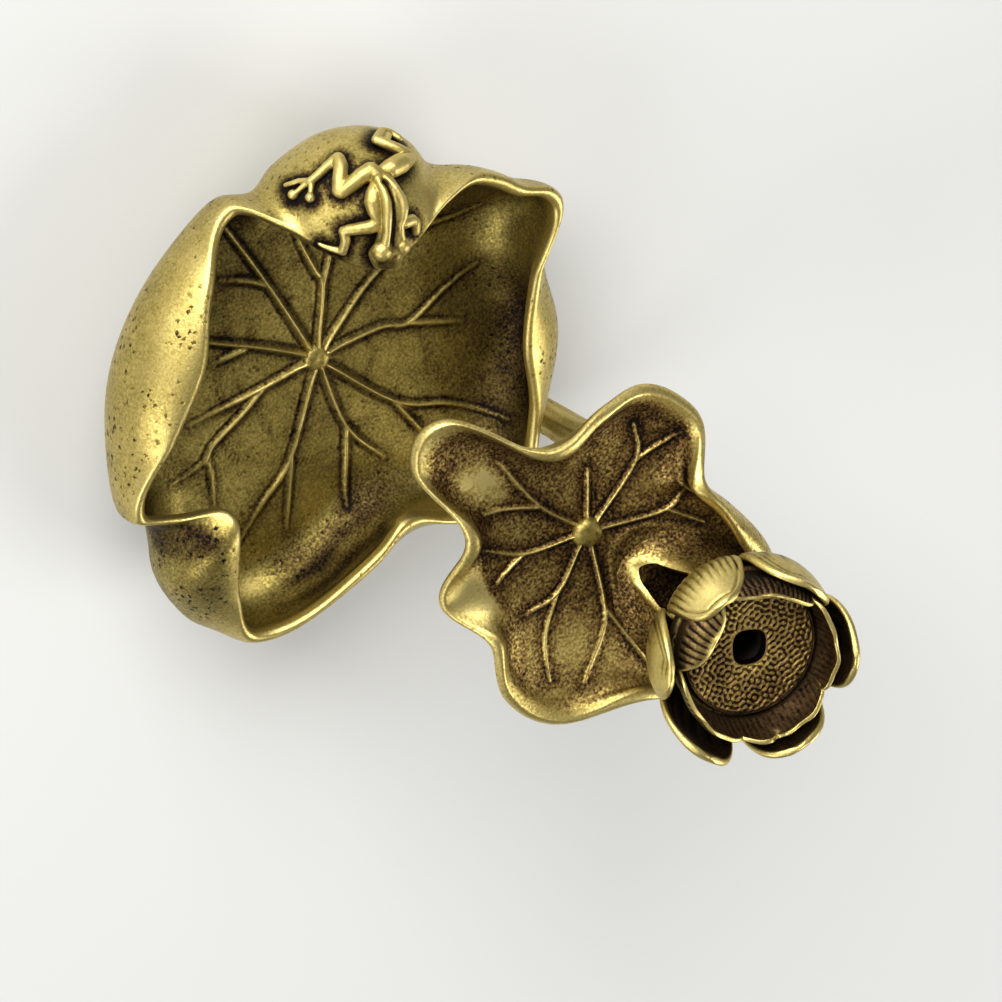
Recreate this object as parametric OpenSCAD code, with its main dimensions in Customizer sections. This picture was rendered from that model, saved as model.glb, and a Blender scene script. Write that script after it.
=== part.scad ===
// Backflow incense burner in cast brass.
// A large curled lotus leaf is the base bowl, a small lotus leaf above it is the smoke tray,
// and a lotus flower behind the tray carries the incense cone. A frog climbs over the large leaf's rim.
// Millimetres, +Z up, flower at the back (+Y), flat foot on Z = 0.

/* [Large leaf] */
// Reach of the widest corner of the large leaf
large_reach = 37; // [35.5:0.5:38]
// Wall of the large leaf
large_wall = 1.8; // [1.6:0.1:2]
// Rise of the large leaf's floor from its centre to the bend
large_dish = 0.8; // [0.6:0.1:1]
// Height of the veins on both leaves
vein_h = 0.6; // [0.4:0.1:0.8]
// Half width of a vein at its foot
vein_half = 1; // [0.8:0.1:1.1]

/* [Small leaf] */
// Reach of the small leaf's front lobe
small_reach = 26.5; // [26:0.25:27]
// Wall of the small leaf
small_wall = 1.5; // [1.3:0.1:1.7]
// Sideways place of the small leaf's centre
tray_x = -5.3; // [-7:0.5:-4]
// Place of the small leaf's centre behind the large leaf's centre
tray_y = 24.5; // [23:0.5:26]
// Height of the small leaf's floor above the large leaf's floor
tray_rise = 41; // [39:0.5:44]
// Forward lean of the small leaf and the flower, in degrees
tray_tilt = 8; // [6:0.5:10]

/* [Foot and stalk] */
// Radius of the foot disc
foot_r = 16; // [15:0.5:17]
// Height of the foot disc
foot_h = 4.6; // [4.4:0.1:5]
// Direction in which the stalk leaves the foot, in degrees
stalk_dir = 114; // [111:1:117]
// Radius of the stalk where it runs along the table
stalk_r = 2.2; // [2:0.05:2.25]
// Radius of the stalk's tenon in the foot
tenon_r = 1.4; // [1.2:0.1:1.6]
// Length of the stalk's tenon
tenon_len = 6; // [5:0.5:8]

/* [Smoke neck] */
// Sideways place of the neck on the small leaf
neck_x = -2; // [-2.5:0.1:-1.5]
// Place of the neck behind the small leaf's centre
neck_y = 19; // [18.6:0.1:19.2]
// Outer radius of the neck where it stands on the leaf
neck_base_r = 9.2; // [8.9:0.1:9.3]
// Outer radius of the neck's top
neck_top_r = 5.7; // [5.5:0.1:6]
// Height of the neck
neck_h = 11; // [10.5:0.25:12]
// Radius of the smoke outlet in the neck's front
outlet_r = 4; // [3.6:0.1:4.1]
// Wall of the neck
neck_wall = 1.4; // [1.2:0.1:1.5]

/* [Flower] */
// Radius of the seed pod that the incense cone stands on
pod_r = 9.15; // [8.9:0.05:9.3]
// Radius of the smoke hole in the seed pod
smoke_hole_r = 2; // [1.75:0.05:2.2]
// Height of the seed pod's top above the neck
pod_rise = 7.5; // [7.2:0.1:8]
// Height of the outer petals' tips above the neck
outer_rise = 12.2; // [11.6:0.2:13]
// Height of the inner petals' tips above the neck
inner_rise = 12.2; // [11.4:0.2:13]
// Thickness of a petal
petal_wall = 0.9; // [0.8:0.05:1]

/* [Fits] */
// Gap between soldered faces
solder_gap = 0.05; // [0.03:0.01:0.08]
// Gap around the flower's spigot and under its shoulder
lift_gap = 0.3; // [0.25:0.05:0.4]
// Shank radius of the two rivets
rivet_r = 0.9; // [0.8:0.05:1]

/* [Hidden] */
$fn = 48;
// Petals in the outer and the inner ring, one node each
outer_count = 6;
inner_count = 5;
// Radius of the rivets' heads
rivet_head_r = 1.9;
// Metal left under the rivet's bore in the foot
foot_skin = 1.2;
// Leaves drawn for these reaches, and made larger or smaller as a whole
large_size = large_reach / 37;
small_size = small_reach / 26.5;
// Floor of the large leaf above the table
floor_z = foot_h + large_wall;
// Middle of the foot's side, where the tenon goes in
tenon_z = stalk_r;
// Bottom of the socket in the neck that takes the flower's spigot
socket_z = 2.15 * outlet_r;
// Underside of the flower's shoulder above the small leaf's floor
shoulder_z = neck_h + lift_gap;
// Heights in the flower above the small leaf's floor: seed pod's top and underside, petals' tips
pod_top = neck_h + pod_rise;
pod_z = pod_top - 1.85;
outer_tip = neck_h + outer_rise;
inner_tip = neck_h + inner_rise;
// Rim of the flower's base, which carries the inner petals
cup_rim = pod_z + 0.35;

// Rim of the large leaf: direction, end of the flat floor, rim radius, rim height
large_rim = [
  [-179, 21.5, 33.6, 15.4], [-172, 19.5, 32.6, 15.8], [-166, 18.5, 31.2, 16.2], [-160, 20, 27.2, 16.9],
  [-152, 23.4, 21.7, 17.4], [-136, 23.9, 19, 17], [-121, 22, 21.4, 15.5], [-113, 20, 25, 13.2],
  [-104, 21.4, 29.2, 11], [-86, 21.3, 25.8, 14.5], [-64, 22, 23, 16], [-40, 23.5, 26, 15.5],
  [-22, 24.2, 32.2, 14], [-10, 24.7, 24.8, 16.5], [4, 29, 27.5, 15.4], [12, 31.1, 31.6, 13.4],
  [22, 29.8, 36, 12.5], [42, 22.6, 27.2, 13.5], [52, 19.2, 24, 13.6], [62, 17.6, 21.8, 13.5],
  [82, 20.2, 28.4, 11.5], [96, 22.5, 31.5, 11.5], [116, 24, 28, 12], [140, 25, 25, 13],
  [160, 23.3, 28.2, 14], [175, 23.2, 36.7, 15]
];

// Rim of the small leaf, in the same order
small_rim = [
  [-172, 9, 21, 3], [-156, 9, 20.5, 3], [-140, 8.5, 17, 4.5], [-118, 8, 13.5, 6], [-100, 9, 16, 5.5],
  [-88, 11, 26.5, 2.5], [-72, 12, 26.5, 1.5], [-60, 10.5, 18.5, 4.5], [-48, 10, 17, 4.5],
  [-26, 10, 21.5, 0.8], [-5, 11, 18.5, 4], [14, 12, 24, 2.5], [32, 14, 26, 2], [60, 20, 23.5, 3],
  [77, 26, 28, 1.2], [95, 29.5, 31, 0.8], [111, 28, 29.4, 1.6], [124, 23.4, 22.2, 4.2], [142, 14.5, 16.4, 5.8],
  [160, 9, 14.5, 6], [176, 9, 20, 3.5]
];

// Veins of the large leaf: chains of direction and radius, from the centre outwards
large_veins = [
  [[-103, 3.2], [-103, 13.8], [-103, 22]], [[-103, 13.8], [-89, 18.7]],
  [[-141, 3.2], [-141, 11.5], [-126, 17.5]], [[-141, 11.5], [-141, 16]],
  [[-172, 3.2], [-172, 19]],
  [[150, 3.2], [150, 13.9], [159, 25]], [[150, 13.9], [141, 22]],
  [[102, 3.2], [102, 14.6], [109, 24]], [[102, 14.6], [94, 21]],
  [[63, 3.2], [63, 11], [75, 18.6]], [[63, 11], [54, 22]],
  [[27, 3.2], [27, 12.3], [19, 27]], [[27, 12.3], [34, 24]],
  [[-25, 3.2], [-25, 20]], [[-23, 10], [-11, 20], [-12, 25]], [[-11, 20], [4, 24]],
  [[-63, 3.2], [-63, 21]]
];

// Veins of the small leaf, in the same order
small_veins = [
  [[-77, 3.2], [-77, 8], [-88, 16.4]], [[-77, 8], [-64, 15]],
  [[-112, 3.2], [-112, 8]],
  [[-171, 3.2], [-171, 10.9], [-162, 14.2]], [[-171, 10.9], [177, 18.6]],
  [[145, 3.2], [145, 10.6], [152, 13]], [[145, 10.6], [134, 15.7]],
  [[-34, 3.2], [-34, 8.5], [-43, 14.2]], [[-34, 8.5], [-25, 13.5]],
  [[10, 3.2], [10, 8.4], [2, 13]], [[10, 8.4], [27, 19.4]],
  [[57, 3.2], [57, 10.6], [42, 20.5]]
];

// Frog: chains of direction on the rim, share of the wall's bend, height above it, radius
frog_parts = [
  [[-140.5, 0.67, 0.6, 2.1], [-140, 0.76, 1, 2.6], [-140, 0.84, 1.1, 2.3]],
  [[-140.3, 0.86, 1.3, 2.2], [-141.5, 0.94, 1.4, 2.3], [-141, 1.02, 1, 1.5]],
  [[-138, 0.95, 2.9, 1.2]],
  [[-146, 0.95, 2.9, 1.2]],
  [[-139, 0.67, 0.6, 1.5], [-130, 0.7, 0.4, 1.1], [-131, 0.57, 0.45, 0.9], [-124, 0.65, 0.45, 0.8]],
  [[-124, 0.65, 0.45, 0.7], [-119.5, 0.63, 0.35, 0.7]],
  [[-124, 0.65, 0.45, 0.7], [-119, 0.71, 0.35, 0.7]],
  [[-124, 0.65, 0.45, 0.7], [-122, 0.73, 0.35, 0.7]],
  [[-140.5, 0.67, 0.6, 1.5], [-149.5, 0.62, 0.5, 1.4], [-142, 0.51, 0.45, 0.9], [-147, 0.47, 0.35, 0.8]],
  [[-136, 0.83, 0.6, 1.2], [-128.5, 0.84, 0.65, 0.9], [-127, 0.92, 0.45, 0.8], [-123, 0.96, 0.35, 0.8]],
  [[-146, 0.85, 0.6, 1.2], [-150.5, 0.9, 0.55, 0.9], [-151.5, 0.96, 0.35, 0.8]]
];

// Stalk: place beyond the foot's edge, sideways place, height of its middle, radius
stalk_run = [
  [0.1, 0, tenon_z, stalk_r], [11, 0, tenon_z + 0.15, stalk_r], [20.5, 0, 3.4, stalk_r + 0.2],
  [25.4, 0.4, 10, stalk_r + 0.1], [24, 1.2, 22, stalk_r + 0.1]
];

// A rim row at any direction, on a smooth curve through the rows beside it
function row(rows, i) =
  let (n = len(rows), turn = floor(i / n), r = rows[i - turn * n])
  concat([r[0] + 360 * turn], [for (k = [1 : len(r) - 1]) r[k]]);
function rim_at(rows, a0) =
  let (
    a = a0 - 360 * floor((a0 - rows[0][0]) / 360),
    i = max([for (k = [0 : len(rows) - 1]) if (rows[k][0] <= a) k]),
    p = row(rows, i - 1), q = row(rows, i), r = row(rows, i + 1), s = row(rows, i + 2),
    h = r[0] - q[0], t = (a - q[0]) / h,
    mq = (r - p) / (r[0] - p[0]) * h, mr = (s - q) / (s[0] - q[0]) * h
  )
  q * (2 * t * t * t - 3 * t * t + 1) + mq * (t * t * t - 2 * t * t + t)
  + r * (3 * t * t - 2 * t * t * t) + mr * (t * t * t - t * t);

// A point of a leaf. share 0 to 1 runs along the floor, 1 to 2 round the bend to the rim.
// off moves it out of the leaf's inner face, towards the underside.
function leaf_point(rows, size, dish, a, share, off) =
  let (
    r = rim_at(rows, a), flat = r[1] * size, reach = r[2] * size - flat, rise = r[3] * size - dish,
    half = atan2(rise, reach), bend = norm([reach, rise]) / (2 * sin(half)),
    t = share <= 1 ? atan2(dish * 6 * share * (1 - share), flat) : 2 * half * (share - 1),
    x = (share <= 1 ? flat * share : flat + bend * sin(t)) + off * sin(t),
    z = (share <= 1 ? dish * share * share * (3 - 2 * share) : dish + bend * (1 - cos(t))) - off * cos(t)
  )
  [x * cos(a), x * sin(a), z];

// Share of a leaf that a radius falls on
function share_of(rows, size, a, radius) = radius / (rim_at(rows, a)[1] * size);

// Height of the veins at a place on a leaf's floor: ridges along their chains
function vein_rise(veins, size, p) =
  vein_h * max([
    0,
    for (chain = veins)
      for (k = [0 : len(chain) - 2])
        let (
          q = size * chain[k][1] * [cos(chain[k][0]), sin(chain[k][0])],
          r = size * chain[k + 1][1] * [cos(chain[k + 1][0]), sin(chain[k + 1][0])],
          t = min(1, max(0, (p - q) * (r - q) / ((r - q) * (r - q))))
        )
        1 - norm(p - q - t * (r - q)) / vein_half
  ]);

// Leaf: a closed sheet round its rivet hole, its veined inner face at off_in and its underside at off_out
module leaf_sheet(rows, size, dish, veins, off_in, off_out, bends) {
  around = 120;
  floors = 7;
  hole = rivet_r + solder_gap;
  turns = [for (k = [1 : bends]) 1 + k / bends];
  // The rivet's head sits on a plain ring, and the veins start beyond it
  function shares(a) =
    let (seat = share_of(rows, size, a, rivet_head_r + 0.2), start = share_of(rows, size, a, hole))
    concat([start], [for (k = [0 : floors]) seat + (1 - seat) * k / floors], turns);
  function back_shares(a) = concat([share_of(rows, size, a, hole), 0.5, 1], turns);
  function face(a, s, off) =
    let (p = leaf_point(rows, size, dish, a, s, 0))
    leaf_point(rows, size, dish, a, s, off - (s > 1.4 ? 0 : vein_rise(veins, size, [p[0], p[1]])));
  sections = [
    for (i = [0 : around - 1])
      let (a = 360 * i / around, front = shares(a), back = back_shares(a), n = len(back))
      concat(
        [for (s = front) face(a, s, off_in)],
        [for (k = [n - 1 : -1 : 0]) leaf_point(rows, size, dish, a, back[k], off_out)]
      )
  ];
  // Each section runs out along the inner face, round the rim and back along the underside
  count = len(sections[0]);
  faces = [
    for (i = [0 : around - 1])
      for (k = [0 : count - 1])
        let (a = i * count, b = (i + 1) % around * count, m = (k + 1) % count)
        each [[a + k, b + k, b + m], [a + k, b + m, a + m]]
  ];
  polyhedron([for (section = sections) each section], faces, convexity = 10);
}

module base_foot() {
  color("goldenrod")
    difference() {
      rotate_extrude()
        polygon([
          [0, 0], [foot_r - 0.6, 0], [foot_r, 0.6], [foot_r, foot_h - 0.8],
          [foot_r - 0.8, foot_h - solder_gap], [0, foot_h - solder_gap]
        ]);
      translate([0, 0, foot_skin])
        cylinder(r = rivet_r + solder_gap, h = foot_h);
      rotate([0, 0, stalk_dir])
        translate([foot_r - tenon_len, 0, tenon_z])
          rotate([0, 90, 0])
            cylinder(r = tenon_r + solder_gap, h = tenon_len + 1);
    }
}

module large_leaf() {
  color("darkgoldenrod")
    translate([0, 0, floor_z])
      leaf_sheet(large_rim, large_size, large_dish, large_veins, 0, large_wall, 10);
}

module rivet(shank) {
  rotate_extrude()
    polygon([
      [0, -shank], [rivet_r, -shank], [rivet_r, solder_gap], [rivet_head_r, solder_gap],
      [rivet_head_r - 0.1, 0.5], [rivet_head_r - 0.6, 0.9], [rivet_head_r - 1.2, 1.1], [0, 1.15]
    ]);
}

module leaf_rivet() {
  color("gold")
    translate([0, 0, floor_z])
      rivet(large_wall + foot_h - foot_skin - 0.2);
}

module frog() {
  color("peru")
    difference() {
      union()
        for (chain = frog_parts)
          for (k = [0 : max(0, len(chain) - 2)])
            hull()
              for (p = [chain[k], chain[min(k + 1, len(chain) - 1)]])
                let (off = large_wall + large_size * p[2])
                translate([0, 0, floor_z])
                  translate(leaf_point(large_rim, large_size, large_dish, p[0], 1 + p[1], off))
                    sphere(r = large_size * p[3], $fn = 12);
      translate([0, 0, floor_z])
        leaf_sheet(large_rim, large_size, large_dish, [], -solder_gap, large_wall + solder_gap, 10);
    }
}

// Frame of the small leaf: its floor's centre, leaning forward
module tray_frame() {
  translate([tray_x, tray_y, floor_z + tray_rise])
    rotate([tray_tilt, 0, 0])
      children();
}
function tray_point(z) = [tray_x, tray_y - z * sin(tray_tilt), floor_z + tray_rise + z * cos(tray_tilt)];

// Stalk's middle line and radius, from the foot's edge to the underside of the small leaf
function stalk_knots() =
  concat(
    [
      for (p = stalk_run)
        [
          (foot_r + p[0]) * cos(stalk_dir) - p[1] * sin(stalk_dir),
          (foot_r + p[0]) * sin(stalk_dir) + p[1] * cos(stalk_dir), p[2], p[3]
        ]
    ],
    [
      concat(tray_point(-small_wall - 12) + [-3.6, 3.4, 0], [stalk_r + 0.2]),
      concat(tray_point(-small_wall - 4), [stalk_r + 0.6]),
      concat(tray_point(-small_wall - solder_gap), [stalk_r + 1.2])
    ]
  );
function curve_point(k, i, t) =
  let (
    n = len(k), p = k[max(0, i - 1)], q = k[i], r = k[min(n - 1, i + 1)], s = k[min(n - 1, i + 2)],
    mq = (r - p) / 2, mr = (s - q) / 2
  )
  q * (2 * t * t * t - 3 * t * t + 1) + mq * (t * t * t - 2 * t * t + t)
  + r * (3 * t * t - 2 * t * t * t) + mr * (t * t * t - t * t);
function unit(v) = v / norm(v);

module stalk_body() {
  knots = stalk_knots();
  steps = 5;
  sides = 16;
  spans = len(knots) - 1;
  line = concat(
    [for (i = [0 : spans - 1]) for (s = [0 : steps - 1]) curve_point(knots, i, s / steps)],
    [knots[spans]]
  );
  count = len(line);
  // The line's own direction, with the two end faces square to the foot's bore and to the leaf
  function place(i) = [line[i][0], line[i][1], line[i][2]];
  function heading(i) =
    i == 0 ? [cos(stalk_dir), sin(stalk_dir), 0]
    : i == count - 1 ? [0, -sin(tray_tilt), cos(tray_tilt)]
    : unit(place(i + 1) - place(i - 1));
  side_axis = [sin(stalk_dir), -cos(stalk_dir), 0];
  points = [
    for (i = [0 : count - 1])
      let (d = heading(i), u = unit(cross(d, side_axis)), w = cross(d, u))
      for (s = [0 : sides - 1])
        place(i) + line[i][3] * (u * cos(360 * s / sides) + w * sin(360 * s / sides))
  ];
  faces = concat(
    [[for (s = [0 : sides - 1]) sides - 1 - s]],
    [
      for (i = [0 : count - 2])
        for (s = [0 : sides - 1])
          let (a = i * sides + s, b = i * sides + (s + 1) % sides)
          each [[a, b, b + sides], [a, b + sides, a + sides]]
    ],
    [[for (s = [0 : sides - 1]) (count - 1) * sides + s]]
  );
  polyhedron(points, [for (f = faces) [for (k = [len(f) - 1 : -1 : 0]) f[k]]], convexity = 6);
}

module stalk() {
  color("olive")
    difference() {
      union() {
        stalk_body();
        rotate([0, 0, stalk_dir])
          translate([foot_r - tenon_len + 0.3, 0, tenon_z])
            rotate([0, 90, 0])
              cylinder(r = tenon_r, h = tenon_len + 1);
      }
      tray_frame()
        translate([0, 0, -small_wall - 6])
          cylinder(r = rivet_r + solder_gap, h = 8);
    }
}

module small_leaf() {
  color("darkgoldenrod")
    tray_frame()
      leaf_sheet(small_rim, small_size, 0, small_veins, 0, small_wall, 6);
}

module tray_rivet() {
  color("gold")
    tray_frame()
      rivet(small_wall + 5.5);
}

// Frame of the flower: the neck's axis on the small leaf
module flower_frame() {
  tray_frame()
    translate([neck_x, neck_y, 0])
      children();
}

module smoke_neck() {
  socket_r = neck_top_r - neck_wall;
  color("darkkhaki")
    flower_frame()
      difference() {
        rotate_extrude()
          polygon([
            [neck_base_r, 0.15], [neck_base_r - 0.3, 1.2], [neck_base_r - 1.6, 3.2], [neck_top_r + 0.8, 6],
            [neck_top_r + 0.1, 9], [neck_top_r, neck_h], [socket_r, neck_h], [socket_r, socket_z],
            [neck_top_r - 0.6, 6], [neck_base_r - 1.6 - neck_wall, 3.2], [neck_base_r - 0.5 - neck_wall, 0.15]
          ]);
        translate([-0.4, 0, 0.3 + outlet_r])
          rotate([90, 0, 0])
            cylinder(r = outlet_r, h = 2 * neck_base_r);
      }
}

// Outside of the flower's base, up to its rim
function base_outline(gap) = [
  [0, shoulder_z - gap], [6 + gap, shoulder_z - gap], [pod_r - 0.8 + gap, shoulder_z + 1.3],
  [pod_r + 0.6 + gap, shoulder_z + 3.3], [pod_r + 1.15 + gap, cup_rim + gap], [0, cup_rim + gap]
];

module flower_base() {
  color("khaki")
    flower_frame()
      difference() {
        union() {
          rotate_extrude() polygon(base_outline(0));
          translate([0, 0, socket_z + lift_gap])
            cylinder(r = neck_top_r - neck_wall - lift_gap, h = neck_h - socket_z + lift_gap);
        }
        translate([0, 0, pod_z - solder_gap])
          cylinder(r = pod_r + solder_gap, h = 5);
        cylinder(r = smoke_hole_r + 0.4, h = 30);
      }
}

module seed_pod() {
  color("saddlebrown")
    flower_frame()
      rotate_extrude()
        polygon([
          [smoke_hole_r, pod_z], [pod_r, pod_z], [pod_r, pod_top - 0.4], [pod_r - 0.5, pod_top],
          [smoke_hole_r + 0.7, pod_top - 0.2], [smoke_hole_r, pod_top - 0.6]
        ]);
}

function bezier(p, t) =
  p[0] * pow(1 - t, 3) + p[1] * 3 * t * pow(1 - t, 2) + p[2] * 3 * t * t * (1 - t) + p[3] * pow(t, 3);
function bezier_dir(p, t) =
  unit((p[1] - p[0]) * pow(1 - t, 2) + (p[2] - p[1]) * 2 * t * (1 - t) + (p[3] - p[2]) * t * t);

// Petal: a sheet round the flower's axis. side is its half width in degrees, taper its tip's roundness.
module petal_sheet(line, side, root, taper, wall) {
  rows = 8;
  cols = 8;
  function half(t) = side * min(1, root + (1 - root) * t / 0.4) * sqrt(max(0.03, 1 - pow(t, taper)));
  function spot(i, j, off) =
    let (t = i / rows, c = bezier(line, t), d = bezier_dir(line, t), a = half(t) * (2 * j / cols - 1))
    let (x = c[0] + off * d[1], z = c[1] - off * d[0])
    [x * cos(a), x * sin(a), z];
  around = cols + 1;
  points = [for (off = [-wall / 2, wall / 2]) for (i = [0 : rows]) for (j = [0 : cols]) spot(i, j, off)];
  back = (rows + 1) * around;
  edge = concat(
    [for (j = [0 : cols]) j], [for (i = [1 : rows]) i * around + cols],
    [for (j = [cols - 1 : -1 : 0]) rows * around + j], [for (i = [rows - 1 : -1 : 1]) i * around]
  );
  faces = concat(
    [
      for (i = [0 : rows - 1])
        for (j = [0 : cols - 1])
          let (a = i * around + j, b = a + 1, c = a + around + 1, d = a + around)
          each [[a, b, c], [a, c, d], [back + a, back + c, back + b], [back + a, back + d, back + c]]
    ],
    [
      for (k = [0 : len(edge) - 1])
        let (a = edge[k], b = edge[(k + 1) % len(edge)])
        each [[a, back + a, back + b], [a, back + b, b]]
    ]
  );
  polyhedron(points, faces, convexity = 4);
}

module outer_petal(i) {
  color("goldenrod")
    flower_frame()
      difference() {
        rotate([0, 0, 9 + 360 / outer_count * i])
          petal_sheet(
            [
              [0.76 * pod_r, shoulder_z + 0.8], [1.37 * pod_r, shoulder_z + 1.7], [1.64 * pod_r, pod_top],
              [1.42 * pod_r, outer_tip]
            ],
            0.465 * 360 / outer_count, 0.55, 3, petal_wall
          );
        rotate_extrude() polygon(base_outline(solder_gap));
      }
}

module inner_petal(i) {
  color("gold")
    flower_frame()
      rotate([0, 0, 360 / inner_count * i - 4])
        petal_sheet(
          [
            [pod_r + 0.6, cup_rim + solder_gap], [pod_r + 0.9, pod_top + 0.5], [pod_r + 2, pod_top + 2.5],
            [pod_r + 1.2, inner_tip]
          ],
          0.49 * 360 / inner_count, 0.97, 6, petal_wall
        );
}

base_foot();
large_leaf();
leaf_rivet();
frog();
stalk();
small_leaf();
tray_rivet();
smoke_neck();
flower_base();
outer_petal(0);  // outer_petal_1
outer_petal(1);  // outer_petal_2
outer_petal(2);  // outer_petal_3
outer_petal(3);  // outer_petal_4
outer_petal(4);  // outer_petal_5
outer_petal(5);  // outer_petal_6
inner_petal(0);  // inner_petal_1
inner_petal(1);  // inner_petal_2
inner_petal(2);  // inner_petal_3
inner_petal(3);  // inner_petal_4
inner_petal(4);  // inner_petal_5
seed_pod();
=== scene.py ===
import bmesh
import bpy
import math
import numpy as np
from mathutils import Matrix, Vector, noise


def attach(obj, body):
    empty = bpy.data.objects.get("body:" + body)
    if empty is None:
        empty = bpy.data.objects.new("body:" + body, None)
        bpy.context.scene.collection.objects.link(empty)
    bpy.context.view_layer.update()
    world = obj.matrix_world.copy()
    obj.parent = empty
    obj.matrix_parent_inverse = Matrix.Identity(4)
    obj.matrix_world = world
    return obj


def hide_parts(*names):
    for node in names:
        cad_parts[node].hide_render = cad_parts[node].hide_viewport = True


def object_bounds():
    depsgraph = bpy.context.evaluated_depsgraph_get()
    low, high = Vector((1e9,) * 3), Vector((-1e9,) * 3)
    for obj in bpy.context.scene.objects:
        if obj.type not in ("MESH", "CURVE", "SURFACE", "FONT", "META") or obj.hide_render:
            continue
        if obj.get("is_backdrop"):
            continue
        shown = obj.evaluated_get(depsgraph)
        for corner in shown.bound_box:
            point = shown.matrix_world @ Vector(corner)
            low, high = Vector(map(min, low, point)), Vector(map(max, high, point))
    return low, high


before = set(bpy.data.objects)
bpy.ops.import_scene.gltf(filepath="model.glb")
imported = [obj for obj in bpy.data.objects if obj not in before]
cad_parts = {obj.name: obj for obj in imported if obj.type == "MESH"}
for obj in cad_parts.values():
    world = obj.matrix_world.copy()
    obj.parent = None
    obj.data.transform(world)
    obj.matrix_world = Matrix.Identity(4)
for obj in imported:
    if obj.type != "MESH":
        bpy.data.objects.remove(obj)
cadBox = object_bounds()
mm = 0.001
print("frame loaded:", len(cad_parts), "CAD nodes")


# small tools
def smooth(low, high, value):
    t = np.clip((value - low) / (high - low), 0, 1)
    return t * t * (3 - 2 * t)


def bump(value, centre, width):
    return np.exp(-(((value - centre) / width) ** 2))


def plateau(value, width):
    # a bump round 0 with a flatter top
    return np.exp(-((value / width) ** 4))


def lumps(points, size, seed=0.0):
    # soft noise, about -1 to 1, with features of that size in mm
    return np.array([noise.noise(Vector(p) / size + Vector((seed, seed * 1.7, 5.1))) for p in points])


def turnDistance(deg, centre):
    return (deg - centre + 180) % 360 - 180


def hermite(p, q, r, s, spanP, spanQ, spanR, t):
    # smooth curve from q to r, steered by the values before and after them
    slopeQ = (r - p) / (spanP + spanQ) * spanQ
    slopeR = (s - q) / (spanQ + spanR) * spanQ
    return (q * (2 * t**3 - 3 * t**2 + 1) + slopeQ * (t**3 - 2 * t**2 + t)
            + r * (3 * t**2 - 2 * t**3) + slopeR * (t**3 - t**2))


def curveThrough(points, steps):
    pts = np.array(points, float)
    pts = np.vstack([2 * pts[0] - pts[1], pts, 2 * pts[-1] - pts[-2]])
    out = []
    for i in range(1, len(pts) - 2):
        for k in range(steps):
            out.append(hermite(pts[i - 1], pts[i], pts[i + 1], pts[i + 2], 1, 1, 1, k / steps))
    return np.array(out + [pts[-2]])


def gridMesh(along, around, shape, merge=1e-6):
    # a grid bent into shape by a function of its two ways, 0 to 1; its seams are then joined
    bm = bmesh.new()
    bmesh.ops.create_grid(bm, x_segments=along, y_segments=around, size=1)
    ways = np.array([v.co[:2] for v in bm.verts]) * 0.5 + 0.5
    places, marks = shape(ways[:, 0], ways[:, 1])
    for name, values in marks.items():
        layer = bm.verts.layers.float.new(name)
        for v, value in zip(bm.verts, values):
            v[layer] = value
    for v, place in zip(bm.verts, places):
        v.co = place * mm
    bmesh.ops.remove_doubles(bm, verts=bm.verts, dist=merge)
    bmesh.ops.recalc_face_normals(bm, faces=bm.faces)
    return bm


def finishPiece(bm, name, body, material, nodes, place=None):
    if place is not None:
        bmesh.ops.transform(bm, matrix=place, verts=bm.verts)
    mesh = bpy.data.meshes.new(name)
    bm.to_mesh(mesh)
    bm.free()
    mesh.polygons.foreach_set("use_smooth", [True] * len(mesh.polygons))
    mesh.materials.append(material)
    piece = bpy.data.objects.new(name, mesh)
    bpy.context.scene.collection.objects.link(piece)
    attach(piece, body)
    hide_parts(*nodes)
    print("made", name, len(mesh.polygons), "faces")


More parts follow.
